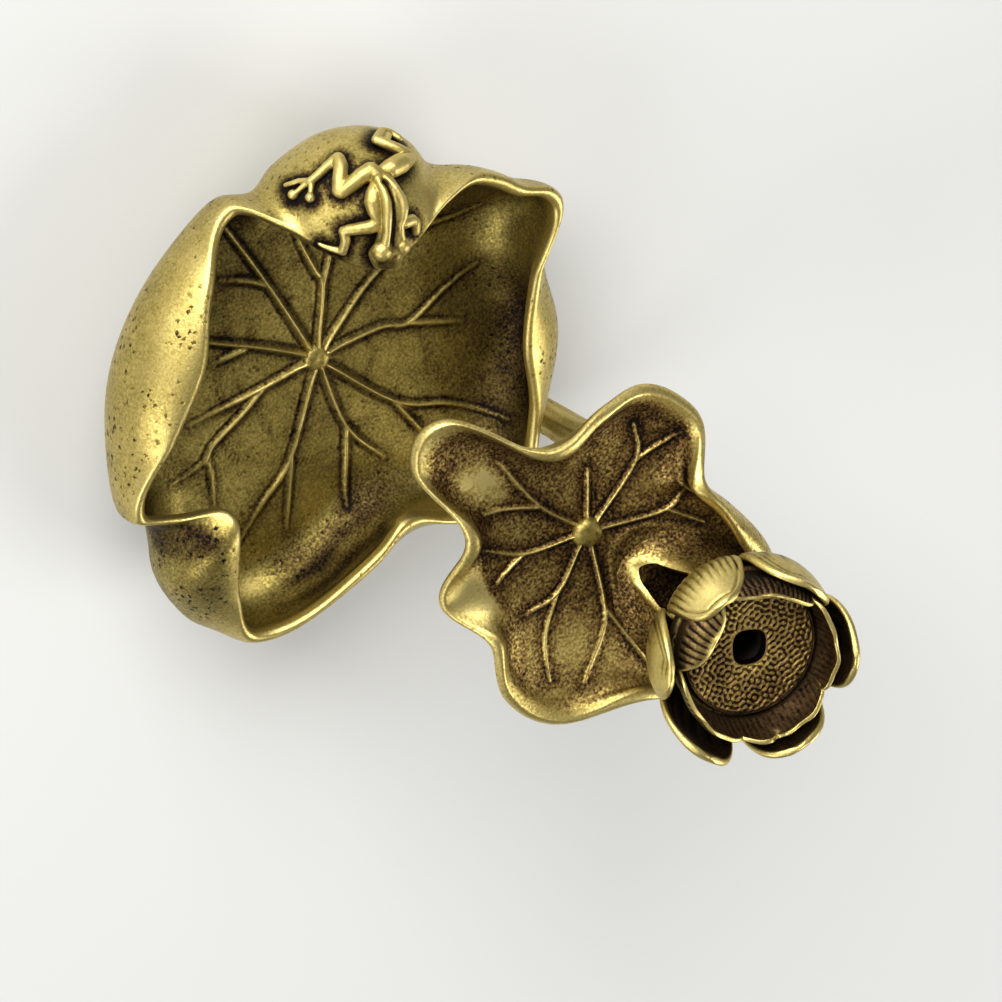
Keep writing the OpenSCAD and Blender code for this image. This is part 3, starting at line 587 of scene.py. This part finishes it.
smallMesh = leafMesh(smallLeaf, (44, 46, 6, 20, 4), 540, dressSmallLeaf)
finishPiece(smallMesh, "smallLotusLeaf", "base", trayBrass, ["small_leaf"], trayPlace)


# turned pieces
def turnedMesh(outline, around):
    # outline: radius, height and wear of each ring (in a bore, painted shade too), from one end on the axis
    # to the other
    outline = np.array(outline, float)

    def shape(along, turn):
        station = along * (len(outline) - 1)
        low = np.clip(np.floor(station).astype(int), 0, len(outline) - 2)
        part = (station - low)[:, None]
        ring = outline[low] * (1 - part) + outline[low + 1] * part
        a = turn * 2 * math.pi
        places = np.stack([ring[:, 0] * np.cos(a), ring[:, 0] * np.sin(a), ring[:, 1]], 1)
        wearAndShading = ring[:, 2] + 0.06 * lumps(places, 3.0, 2.0)
        return places, {"wearAndShading": wearAndShading, "pitted": np.full(len(wearAndShading), 0.5)}

    return gridMesh(len(outline) - 1, around, shape)


foot = dict(radius=16.0, height=4.55, edge=0.7)


def footOutline():
    r, h, e = foot["radius"], foot["height"], foot["edge"]
    rings = [(0, 0, 0.6), (6, 0, 0.62), (r - 1.5, 0, 0.7)]
    for k in range(5):
        a = math.radians(90 * k / 4)
        rings.append((r - e + e * math.sin(a), e - e * math.cos(a), 0.92))
    rings.append((r, h * 0.5, 0.75))
    for k in range(5):
        a = math.radians(90 * k / 4)
        rings.append((r - e + e * math.cos(a), h - e + e * math.sin(a), 0.85 - 0.2 * k / 4))
    return rings + [(r - 2.5, h, 0.4), (6, h, 0.3), (0, h, 0.3)]


finishPiece(turnedMesh(footOutline(), 160), "footDisc", "base", stalkBrass, ["base_foot"])

boss = dict(head=2.05, rise=1.3, lump=0.26, pinR=0.85, tone=0.72)


def bossMesh(shank):
    # a lumpy dome on a pin
    rings = [(0, -shank), (boss["pinR"], -shank), (boss["pinR"], 0.02), (boss["head"], 0.04)]
    for a in range(8, 90, 8):
        c, d = math.cos(math.radians(a)), math.sin(math.radians(a))
        rings.append((boss["head"] * c**0.6, 0.1 + (boss["rise"] - 0.1) * d))
    rings = np.array(rings + [(0, boss["rise"])])

    def shape(along, turn):
        i = np.rint(along * (len(rings) - 1)).astype(int)
        a = turn * 2 * math.pi
        places = np.stack([rings[i, 0] * np.cos(a), rings[i, 0] * np.sin(a), rings[i, 1]], 1)
        knob = lumps(places, 0.9, shank)
        places[:, :2] *= (1 + boss["lump"] * 0.5 * knob * (i > 2))[:, None]
        places[:, 2] -= boss["lump"] * (0.5 + 0.5 * knob) * (rings[i, 1] > 0.1)
        return places, {"wearAndShading": boss["tone"] + 0.25 * knob, "pitted": np.full(len(knob), 0.3)}

    return gridMesh(len(rings) - 1, 64, shape)


finishPiece(bossMesh(5.0), "leafBoss", "base", bossBrass, ["leaf_rivet"], largePlace)
finishPiece(bossMesh(6.9), "trayBoss", "base", bossBrass, ["tray_rivet"], trayPlace)


# stalk
stalk = dict(direction=114, footR=16.0, radius=2.2, tone=0.88)


def stalkKnots():
    a = math.radians(stalk["direction"])
    r = stalk["radius"]
    # distance from the foot's rim, aside, height and radius
    run = [(0.1, 0, r, r), (11, 0, r + 0.15, r), (20.5, -0.8, 3.4, r + 0.3),
           (25.4, -1.6, 10, r + 0.5), (23.8, -0.4, 22, r + 0.4)]
    knots = []
    for p, q, z, w in run:
        p = stalk["footR"] + p
        knots.append((p * math.cos(a) - q * math.sin(a), p * math.sin(a) + q * math.cos(a), z, w))
    # then up to the small leaf
    for drop, dx, dy, w in ((13.5, -2.6, 3.2, r + 0.2), (5.5, 0, 0, r + 0.6), (1.55, 0, 0, r + 1.2)):
        top = trayPlace @ Vector((0, 0, -drop * mm)) / mm
        knots.append((top.x + dx, top.y + dy, top.z, w))
    return knots


def stalkMesh():
    knots = np.array(stalkKnots())
    ends = np.vstack([knots[0], knots, knots[-1]])
    line = []
    for i in range(1, len(ends) - 2):
        for k in range(14):
            line.append(hermite(ends[i - 1], ends[i], ends[i + 1], ends[i + 2], 1, 1, 1, k / 14))
    line = np.array(line + [knots[-1]])
    heading = np.gradient(line[:, :3], axis=0)
    a = math.radians(stalk["direction"])
    heading[0] = (math.cos(a), math.sin(a), 0)
    heading[-1] = trayPlace.to_3x3() @ Vector((0, 0, 1))
    heading /= np.linalg.norm(heading, axis=1)[:, None]
    sideways = np.array([math.sin(a), -math.cos(a), 0])
    up = np.cross(heading, sideways)
    up /= np.linalg.norm(up, axis=1)[:, None]
    across = np.cross(heading, up)

    def shape(along, turn):
        station = along * (len(line) + 1)
        i = np.clip(np.rint(station).astype(int) - 1, 0, len(line) - 1)
        closed = np.where((np.rint(station) == 0) | (np.rint(station) == len(line) + 1), 0.0, 1.0)
        t = turn * 2 * math.pi
        ribs = 0.05 * np.cos(9 * t + 0.8 * np.sin(i * 0.12))
        ribs = ribs + 0.05 * np.cos(i * 0.31) * np.cos(t * 2 + i * 0.07)
        r = (line[i, 3] - 0.12 + ribs) * closed
        places = line[i, :3] + (up[i] * np.cos(t)[:, None] + across[i] * np.sin(t)[:, None]) * r[:, None]
        places[:, 2] = np.maximum(places[:, 2], 0.0)
        wearAndShading = stalk["tone"] + 2.2 * ribs + 0.1 * lumps(places, 4.0, 4.0)
        return places, {"wearAndShading": wearAndShading, "pitted": np.full(len(wearAndShading), 0.7)}

    return gridMesh(len(line) + 1, 72, shape)


finishPiece(stalkMesh(), "curvedStalk", "base", stalkBrass, ["stalk"])


# smoke neck
flowerPlace = trayPlace @ Matrix.Translation((-2 * mm, 19 * mm, 0))
neck = dict(
    rings=[(10.0, -0.15), (9.7, 0.04), (9.3, 0.28), (8.8, 0.9), (8.1, 2.1), (7.3, 3.8), (6.5, 6),
           (5.8, 9), (5.7, 11)],
    wall=1.1, nose=2.3, noseTurn=-82, unit=6.5, centre=(0.0, 4.4), lip=0.7,
    mouth=[(1.3, 1.05), (2.3, 1.8), (2.6, 2.7), (2.9, 3.75), (3.2, 6.0), (2.2, 7.7), (-0.3, 8.3),
           (-2.1, 7.8), (-2.3, 6.35),
           (-1.8, 4.8), (-1.3, 3.6), (-0.95, 2.75), (-0.65, 2.05), (-0.2, 1.6), (0.35, 1.25)])


def neckRadius(turn, z):
    rings = curveThrough(neck["rings"], 8)
    nose = neck["nose"] * bump(turnDistance(np.degrees(turn), neck["noseTurn"]), 0, 45)
    return np.interp(z, rings[:, 1], rings[:, 0]) + nose * np.exp(-np.maximum(z, 0) / 1.4)


def mouthOutline():
    # the mouth's edge as distances from its middle, on the wall rolled out flat
    corners = np.array(neck["mouth"])
    n = len(corners)
    line = []
    for i in range(n):
        four = [corners[(i + k) % n] for k in (-1, 0, 1, 2)]
        line += [hermite(*four, 1, 1, 1, j / 8) for j in range(8)]
    line = np.array(line)
    flat = np.arcsin(line[:, 0] / neckRadius(np.full(len(line), -math.pi / 2), line[:, 1])) * neck["unit"]
    along, up = flat - neck["centre"][0], line[:, 1] - neck["centre"][1]
    turn, reach = np.arctan2(up, along), np.hypot(along, up)
    order = np.argsort(turn)
    return turn[order], reach[order]


def neckMesh():
    # rays run out from the mouth's edge over the whole wall, and the two sides meet at the back
    low, top = neck["rings"][0][1], neck["rings"][-1][1]
    edgeTurn, edgeReach = mouthOutline()

    def shape(out, around):
        ray = around * 2 * math.pi
        c, d = np.cos(ray), np.sin(ray)
        start = np.interp(ray, edgeTurn, edgeReach, period=2 * math.pi)
        sideEnd = math.pi * neck["unit"] / np.maximum(np.abs(c), 1e-9)
        room = np.where(d > 0, top - neck["centre"][1], neck["centre"][1] - low)
        topEnd = room / np.maximum(np.abs(d), 1e-9)
        end = np.minimum(sideEnd, topEnd)
        away = (end - start) * out**1.8
        flat = (start + away) * c
        z = neck["centre"][1] + (start + away) * d
        turn = flat / neck["unit"] - math.pi / 2
        broad = 0.6 + 1.1 * smooth(0.2, -0.5, c)
        lip = neck["lip"] * bump(away, 0.45, broad) * (1 - smooth(9, 10.5, z))
        radius = neckRadius(turn, z) + lip
        places = np.stack([radius * np.cos(turn), radius * np.sin(turn), z], 1)
        edge = bump(np.maximum(away - 0.4, 0), 0, 0.9 * broad)
        wearAndShading = 0.28 + 0.55 * edge + 0.10 * lumps(places, 2.4, 6.0) + 0.2 * smooth(1.5, 5, z) * (1 - edge)
        return places, {"wearAndShading": wearAndShading, "pitted": np.full(len(wearAndShading), 0.2)}

    bm = gridMesh(56, 288, shape)
    facing = [(f.normal, f.calc_center_median()) for f in bm.faces]
    if sum(normal.x * spot.x + normal.y * spot.y for normal, spot in facing) < 0:
        bmesh.ops.reverse_faces(bm, faces=bm.faces)
    bm.normal_update()
    # a second wall inside the first, dark with soot and painted shade, joined to it round the mouth and at
    # both ends
    waiting = [e for e in bm.edges if e.is_boundary]
    loops = []
    while waiting:
        loop = [waiting.pop()]
        for edge in loop:
            near = [e for v in edge.verts for e in v.link_edges if e in waiting]
            waiting = [e for e in waiting if e not in near]
            loop += near
        loops.append(loop)
    print("neck openings:", [len(loop) for loop in loops])
    copied = bmesh.ops.duplicate(bm, geom=bm.verts[:] + bm.edges[:] + bm.faces[:])
    sootAndShade = bm.verts.layers.float["wearAndShading"]
    for v in [g for g in copied["geom"] if isinstance(g, bmesh.types.BMVert)]:
        v.co -= v.normal * (neck["wall"] * mm)
        v[sootAndShade] = 0.03
    bmesh.ops.reverse_faces(bm, faces=[g for g in copied["geom"] if isinstance(g, bmesh.types.BMFace)])
    for loop in loops:
        bmesh.ops.bridge_loops(bm, edges=loop + [copied["edge_map"][e] for e in loop])
    bmesh.ops.recalc_face_normals(bm, faces=bm.faces)
    return bm


finishPiece(neckMesh(), "smokeNeck", "base", trayBrass, ["smoke_neck"], flowerPlace)


# flower
flower = dict(
    podR=9.15, shoulder=11.3, podTop=18.5, podZ=16.65, tip=23.2, sway=1.1, swayTurn=math.radians(44))


def bezier(points, t):
    p = np.array(points, float)[:, :, None]
    return p[0] * (1 - t) ** 3 + 3 * p[1] * t * (1 - t) ** 2 + 3 * p[2] * t**2 * (1 - t) + p[3] * t**3


def bezierNormal(points, t):
    p = np.array(points, float)[:, :, None]
    d = (p[1] - p[0]) * (1 - t) ** 2 + 2 * (p[2] - p[1]) * t * (1 - t) + (p[3] - p[2]) * t**2
    d = d / np.hypot(d[0], d[1])
    return d[1], -d[0]


def petalMesh(petal):
    # front and back lie over the same outline and meet in a rounded edge
    def shape(along, around):
        loop = around * 4
        face = np.where(loop < 2, 1.0, -1.0)  # 1 looks at the pod
        across = np.where(loop < 2, loop - 1, 3 - loop)
        s, t = np.sin(across * math.pi / 2), np.sin(along * math.pi / 2)
        widest = petal["half"] * np.minimum(1, petal["root"] + (1 - petal["root"]) * t / 0.4)
        halfTurn = widest * np.sqrt(np.maximum(0, 1 - t ** petal["taper"]))
        c = bezier(petal["line"], t)
        nr, nz = bezierNormal(petal["line"], t)
        half = petal["wall"] / 2
        sideGap = (1 - np.abs(s)) * np.radians(halfTurn) * c[0]
        endGap = np.minimum(1 - t, t) * petal["length"]
        gap = np.minimum(sideGap, endGap)
        thick = half * np.sqrt(np.maximum(0, 1 - (1 - np.clip(gap / (1.3 * half), 0, 1)) ** 2))
        inner = smooth(0.1, 0.9, gap)
        # shallow grooves run side by side up the petal, and a fine line follows its edge
        aside = s * np.radians(halfTurn) * c[0] + 0.3 * np.sin(3 * t + petal["turn"])
        groove = (0.5 + 0.5 * np.cos(2 * math.pi * aside / petal["ribs"])) ** 4 * inner
        groove = groove * smooth(petal["ribFrom"], petal["ribFrom"] + 0.15, t)
        groove = groove * (1 - smooth(petal["ribTo"] - 0.2, petal["ribTo"], t))
        hem = sum(bump(gap, away, 0.17) for away in petal["hems"]) * smooth(0.45, 0.65, t)
        hem = hem * (1 if petal["hemSide"] == 0 else smooth(-0.3, 0.3, s * petal["hemSide"]))
        curl = petal["curl"] * smooth(0.35, 1.0, t) ** 1.4
        cup = petal["cup"] * s**2 * smooth(0.1, 0.8, t) * (halfTurn / widest) ** 2
        cut = petal["ribDepth"] * groove * np.where(face < 0, 1.0, 0.6) + petal["hemDepth"] * hem
        out = -face * (thick - cut)
        angle = petal["turn"] + halfTurn * s
        turn = np.radians(angle)
        notch = petal["notch"] * bump(turnDistance(angle, 58), 0, 4) * smooth(0.5, 1, t)
        ripple = np.sin(np.radians(angle * 9)) + 0.7 * np.sin(np.radians(angle * 17 + 40))
        ripple = petal["wave"] * ripple * smooth(0.4, 1, t)
        r = c[0] + nr * out - cup - curl + ripple + 0.5 * notch
        z = c[1] + nz * out - petal["droop"] * smooth(0.6, 1, t) ** 2 + 1.3 * ripple - notch
        sway = flower["sway"] * smooth(15.5, flower["tip"], z)
        swayX, swayY = sway * math.cos(flower["swayTurn"]), sway * math.sin(flower["swayTurn"])
        places = np.stack([r * np.cos(turn) + swayX, r * np.sin(turn) + swayY, z], 1)
        rimward = 1 - smooth(petal["rim"], petal["rim"] + 0.35, gap + 0.9 * (1 - smooth(0.25, 0.4, t)))
        grain = lumps(places, 2.0, petal["turn"] * 0.1)
        outside = petal["outWearAndShade"] + 0.2 * smooth(0.3, 0.8, t) - 0.6 * groove - 0.4 * hem
        inside = petal["inWear"] - 0.2 * groove + 0.14 * smooth(0.55, 1.0, t)
        wearAndShading = np.where(face < 0, outside, inside) + 0.08 * grain
        wearAndShading = wearAndShading * (1 - rimward) + (0.93 + 0.06 * grain) * rimward
        return places, {"wearAndShading": wearAndShading, "pitted": np.full(len(wearAndShading), 0.2)}

    return gridMesh(64, 136, shape)


podR, shoulder, podTop = flower["podR"], flower["shoulder"], flower["podTop"]


def outerLine(belly):
    lower = [(0.76 * podR, shoulder + 0.8), (1.37 * podR, shoulder + 1.7)]
    return lower + [(belly * podR, podTop), (1.42 * podR, flower["tip"])]


outerPetal = dict(
    shift=0, line=outerLine(1.66), half=29.5, root=0.55, taper=3.2, wall=1.0, length=14.0,
    ribs=2.2, ribFrom=0.2, ribTo=0.7, ribDepth=0.06, hems=(0.8,), hemSide=0, hemDepth=0.08,
    rim=0.12, cup=0.5, curl=0.3, wave=0.04, notch=0.0, droop=0.2, outWearAndShade=0.66, inWear=0.1)
outerTouch = {  # the three at the front curl in over the pod, each with its own grooves
    0: dict(curl=-0.3),
    3: dict(shift=1, half=36, line=outerLine(1.36), curl=1.3, droop=0.4, cup=0.8,
            ribDepth=0.0, hems=(0.9, 1.7), hemSide=1),
    4: dict(shift=7, half=32, line=outerLine(1.4), curl=2.6, droop=0.8, cup=1.4, ribs=1.0,
            ribFrom=0.3, ribTo=0.78, ribDepth=0.22, hems=(1.1,), hemDepth=0.16, outWearAndShade=0.78),
    5: dict(shift=3, half=27, curl=0.6, droop=0.5, cup=0.8, ribDepth=0.0, hems=(0.8, 1.5), hemSide=-1)}
for i in range(6):
    petal = {**outerPetal, **outerTouch.get(i, {})}
    petal["turn"] = 9 + 60 * i + petal["shift"]
    finishPiece(petalMesh(petal), "outerPetal%d" % (i + 1), "flower", petalBrass,
                ["outer_petal_%d" % (i + 1)], flowerPlace)

innerPetal = dict(
    line=[(podR + 0.6, 17.05), (podR + 0.9, podTop + 0.5), (podR + 2, podTop + 2.5),
          (podR + 1.2, flower["tip"])],
    half=40, root=0.97, taper=5, wall=0.6, length=6.5,
    ribs=0.8, ribFrom=0.05, ribTo=1.1, ribDepth=0.12, hems=(), hemSide=0, hemDepth=0.0,
    rim=0.04, cup=0.2, curl=0.1, wave=0.07, notch=0.0, droop=0.5, outWearAndShade=0.3, inWear=0.24)
innerTouch = {
    # the fourth inner petal's outer face is darkened: painted shade under the curled outer petal in front
    # of it
    1: dict(notch=1.2), 3: dict(curl=1.3, droop=0.9, ribFrom=0.3, outWearAndShade=0.1),
    4: dict(curl=2.9, droop=1.0, half=34, taper=3.5, ribs=1.1, ribFrom=0.4, ribDepth=0.2, outWearAndShade=0.22)}
for i in range(5):
    petal = {**innerPetal, "turn": 72 * i - 4, **innerTouch.get(i, {})}
    finishPiece(petalMesh(petal), "innerPetal%d" % (i + 1), "flower", petalBrass,
                ["inner_petal_%d" % (i + 1)], flowerPlace)


def baseOutline():
    rim = flower["podZ"] + 0.35
    # down the bore, round the spigot's end, out and up to the cup's rim, and back over its floor; the bore
    # is black with soot and painted shade
    return [
        (2.4, 16.55, -0.6), (2.4, 8.95, -0.6), (3.95, 8.95, 0.4), (3.95, 11.28, 0.4), (5.9, 11.32, 0.5),
        (6.6, 11.6, 0.6), (8.35, 12.6, 0.6), (9.2, 13.6, 0.5), (9.75, 14.6, 0.4), (10.2, 16, 0.35),
        (10.28, rim, 0.4), (9.3, rim, 0.3), (9.22, 16.6, 0.1), (2.4, 16.55, -0.6)]


cupMesh = turnedMesh(baseOutline(), 120)
finishPiece(cupMesh, "flowerCup", "flower", petalBrass, ["flower_base"], flowerPlace)

pod = dict(holeR=2.38, worm=0.74, wormDepth=0.24, tone=0.08, crestTone=0.48, lipTone=0.34)


def wormField(x, y):
    # waves of one length from many directions make a worm-like pattern
    chance = np.random.RandomState(11)
    total = np.zeros_like(x)
    for k in range(40):
        a, start = chance.uniform(0, 2 * math.pi, 2)
        total += np.cos(2 * math.pi / pod["worm"] * (x * math.cos(a) + y * math.sin(a)) + start)
    return total / 6.3


def podMesh():
    # share of the way, and zone: 0 underside, 1 hole, 2 top, 3 side, 4 underside again
    stations = [(0.0, 0)] + [(k / 4, 1) for k in range(5)] + [(k / 90, 2) for k in range(1, 91)]
    stations += [(k / 4, 3) for k in range(1, 5)] + [(1.0, 4)]
    steps = np.array(stations)

    def shape(along, turn):
        i = np.rint(along * (len(steps) - 1)).astype(int)
        part, zone = steps[i, 0], steps[i, 1]
        a = turn * 2 * math.pi
        hole = pod["holeR"] * (1 + 0.05 * np.cos(4 * a + 0.1)) + 0.04 * np.sin(3 * a)
        r = np.where(zone <= 1, hole, np.where(zone == 2, hole + (podR - 0.06 - hole) * part, podR - 0.06))
        r = np.where(zone == 4, hole, r)
        x, y = r * np.cos(a), r * np.sin(a)
        crest = smooth(-0.5, 0.3, wormField(x, y))
        zoneIn = smooth(hole + 0.1, hole + 0.5, r) * (1 - smooth(podR - 0.5, podR - 0.35, r))
        lip = bump(r - hole, 0.2, 0.25)
        dish = -0.42 * smooth(podR - 0.9, hole + 1.0, r) * 0.5
        z = podTop - 0.12 + dish - pod["wormDepth"] * (1 - crest) * zoneIn
        z = z + 0.05 * lip - 0.1 * bump(r, podR - 0.3, 0.13)
        z = np.where(zone <= 1, flower["podZ"] + (podTop - 0.5 - flower["podZ"]) * part, z)
        z = np.where(zone == 3, z + (flower["podZ"] - z) * part, z)
        z = np.where((zone == 0) | (zone == 4), flower["podZ"], z)
        z = np.where((zone == 2) & (r < hole + 0.15), z - 0.15 * (1 - (r - hole) / 0.15), z)
        places = np.stack([x, y, z], 1)
        wearAndShading = pod["tone"] + pod["crestTone"] * crest * zoneIn + pod["lipTone"] * lip
        # the hole's wall is painted black: soot and painted shade
        wearAndShading = np.where(zone <= 1, -0.6, wearAndShading + 0.12 * lumps(places, 2.5, 1.0))
        return places, {"wearAndShading": wearAndShading, "pitted": np.full(len(wearAndShading), 0.1)}

    return gridMesh(len(steps) - 1, 420, shape)


finishPiece(podMesh(), "seedPod", "flower", podBrass, ["seed_pod"], flowerPlace)


# frog
def frogPiece():
    forms = frogForms()
    bm = bmesh.new()
    for centre, radius, _, _ in forms:
        place = Matrix.Translation(centre * mm)
        bmesh.ops.create_icosphere(bm, subdivisions=2, radius=radius * mm, matrix=place)
    mesh = bpy.data.meshes.new("frogForms")
    bm.to_mesh(mesh)
    bm.free()
    rough = bpy.data.objects.new("frogForms", mesh)
    bpy.context.scene.collection.objects.link(rough)
    skin = rough.modifiers.new("skin", "REMESH")
    skin.mode, skin.voxel_size = "VOXEL", frog["voxel"] * mm
    ease = rough.modifiers.new("ease", "SMOOTH")
    ease.factor, ease.iterations = 0.5, 5
    merged = bpy.data.meshes.new_from_object(rough.evaluated_get(bpy.context.evaluated_depsgraph_get()))
    bpy.data.objects.remove(rough)
    bm = bmesh.new()
    bm.from_mesh(merged)
    bpy.data.meshes.remove(merged)
    bm.normal_update()
    # a groove runs along the back, between its two ridges
    co = np.array([v.co for v in bm.verts]) / mm
    line = curveThrough([onLobe((a, share, 2.5)) for a, share in frog["groove"]], 30)
    apart = np.min(np.linalg.norm(co[:, None, :] - line[None, :, :], axis=2), axis=1)
    for v, down in zip(bm.verts, frog["grooveDepth"] * bump(apart, 0, frog["grooveWidth"])):
        v.co -= v.normal * (down * mm)
    bm.normal_update()
    # how far each point stands off the leaf, for the patina in the corners
    centres = np.array([f[0] for f in forms])
    ups = np.array([f[2] for f in forms])
    heights = np.array([f[3] for f in forms])
    radii = np.array([f[1] for f in forms])
    reach = np.linalg.norm(co[:, None, :] - centres[None, :, :], axis=2) - radii[None, :]
    nearest = np.argmin(reach, axis=1)
    stand = heights[nearest] + np.sum((co - centres[nearest]) * ups[nearest], axis=1)
    bent = []  # how sharply the skin bulges
    for v in bm.verts:
        ring = [e.other_vert(v).co for e in v.link_edges]
        bent.append((v.co - sum(ring, Vector()) / len(ring)).dot(v.normal) / (frog["voxel"] * mm))
    # the chin is darkened: painted shade under the head
    chin = plateau(np.linalg.norm(co - np.array(onLobe(frog["chin"])), axis=1), frog["chinR"])
    layerWearAndShading, layerPit = bm.verts.layers.float.new("wearAndShading"), bm.verts.layers.float.new("pitted")
    grain = lumps(co, 1.6, 8.0)
    bm.verts.index_update()
    for v, g, up, groove, under in zip(bm.verts, grain, stand, bump(apart, 0, 0.55), chin):
        around = [bent[v.index]] + [bent[e.other_vert(v).index] for e in v.link_edges]
        tone = frog["tone"] + 2.4 * sum(around) / len(around) + 0.06 * g - 0.8 * groove - 0.6 * under
        v[layerWearAndShading] = min(1.0, max(0.0, tone * float(smooth(-0.15, 0.6, up))))
        v[layerPit] = 0.2
    return bm


finishPiece(frogPiece(), "rimFrog", "base", frogBrass, ["frog"], largePlace)


# floor, light and camera
stage = dict(
    floor=(0.60, 0.60, 0.58), floorHalf=3.0, world=0.26, middle=(0.0, 0.015, 0.03),
    boxes=[  # name, place, size and power
        ("keyBox", (-0.14, -0.58, 0.40), 0.60, 8.2),
        ("fillBox", (0.50, -0.20, 0.35), 0.30, 1.6),
        ("backBox", (-0.15, 0.55, 0.45), 0.40, 3.0)])


def paleFloor():
    bm = bmesh.new()
    bmesh.ops.create_grid(bm, x_segments=1, y_segments=1, size=stage["floorHalf"])
    bmesh.ops.translate(bm, verts=bm.verts, vec=(0, 0, -0.00002))
    mesh = bpy.data.meshes.new("paleFloor")
    bm.to_mesh(mesh)
    bm.free()
    floor = bpy.data.objects.new("paleFloor", mesh)
    bpy.context.scene.collection.objects.link(floor)
    material = bpy.data.materials.new("paleFloor")
    material.use_nodes = True
    shader = material.node_tree.nodes["Principled BSDF"]
    shader.inputs["Base Color"].default_value = (*stage["floor"], 1)
    shader.inputs["Roughness"].default_value = 0.85
    mesh.materials.append(material)
    floor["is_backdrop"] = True


def softBox(name, place, size, power):
    light = bpy.data.lights.new(name, "AREA")
    light.shape, light.size, light.energy = "SQUARE", size, power
    box = bpy.data.objects.new(name, light)
    bpy.context.scene.collection.objects.link(box)
    box.location = place
    box.rotation_euler = (Vector(stage["middle"]) - Vector(place)).to_track_quat("-Z", "Y").to_euler()


paleFloor()
for box in stage["boxes"]:
    softBox(*box)
world = bpy.context.scene.world or bpy.data.worlds.new("studio")
bpy.context.scene.world = world
world.use_nodes = True
sky = world.node_tree.nodes["Background"].inputs
sky["Color"].default_value = (1, 1, 1, 1)
sky["Strength"].default_value = stage["world"]

# the camera leans and rolls as the photo's did; boss is where the large leaf's boss lies in its pixels
view = dict(distance=400.0, lean=34.0, roll=40.0, pixelsPerMm=7.3, boss=(315.7, 357.0), image=1002)
lean, roll = math.radians(view["lean"]), math.radians(view["roll"])
towards = Vector((0, -math.sin(lean), math.cos(lean)))
upFace = Vector((0, math.cos(lean), math.sin(lean)))
left = Vector((-1, 0, 0))
right = math.cos(roll) * upFace + math.sin(roll) * left
top = math.cos(roll) * left - math.sin(roll) * upFace
half = view["image"] / 2
shiftX = (view["boss"][0] - half) / view["pixelsPerMm"]
shiftY = (half - view["boss"][1]) / view["pixelsPerMm"]
eye = Vector((0, 0, largeLeaf["floorZ"])) + view["distance"] * towards - shiftX * right - shiftY * top
lens = bpy.data.cameras.new("photoCamera")
lens.sensor_width = 36.0
lens.lens = view["pixelsPerMm"] * view["distance"] / view["image"] * lens.sensor_width
lens.clip_start, lens.clip_end = 0.01, 20.0
camera = bpy.data.objects.new("photoCamera", lens)
bpy.context.scene.collection.objects.link(camera)
camera.matrix_world = Matrix((
    (right.x, top.x, towards.x, eye.x * mm), (right.y, top.y, towards.y, eye.y * mm),
    (right.z, top.z, towards.z, eye.z * mm), (0, 0, 0, 1)))
bpy.context.scene.camera = camera
bpy.context.scene.view_settings.view_transform = "Standard"
print("floor, light and camera ready")

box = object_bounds()
for label, corners in (("CAD box", cadBox), ("visual box", box)):
    print(label, [round(c / mm, 2) for c in (*corners[0], *corners[1])])
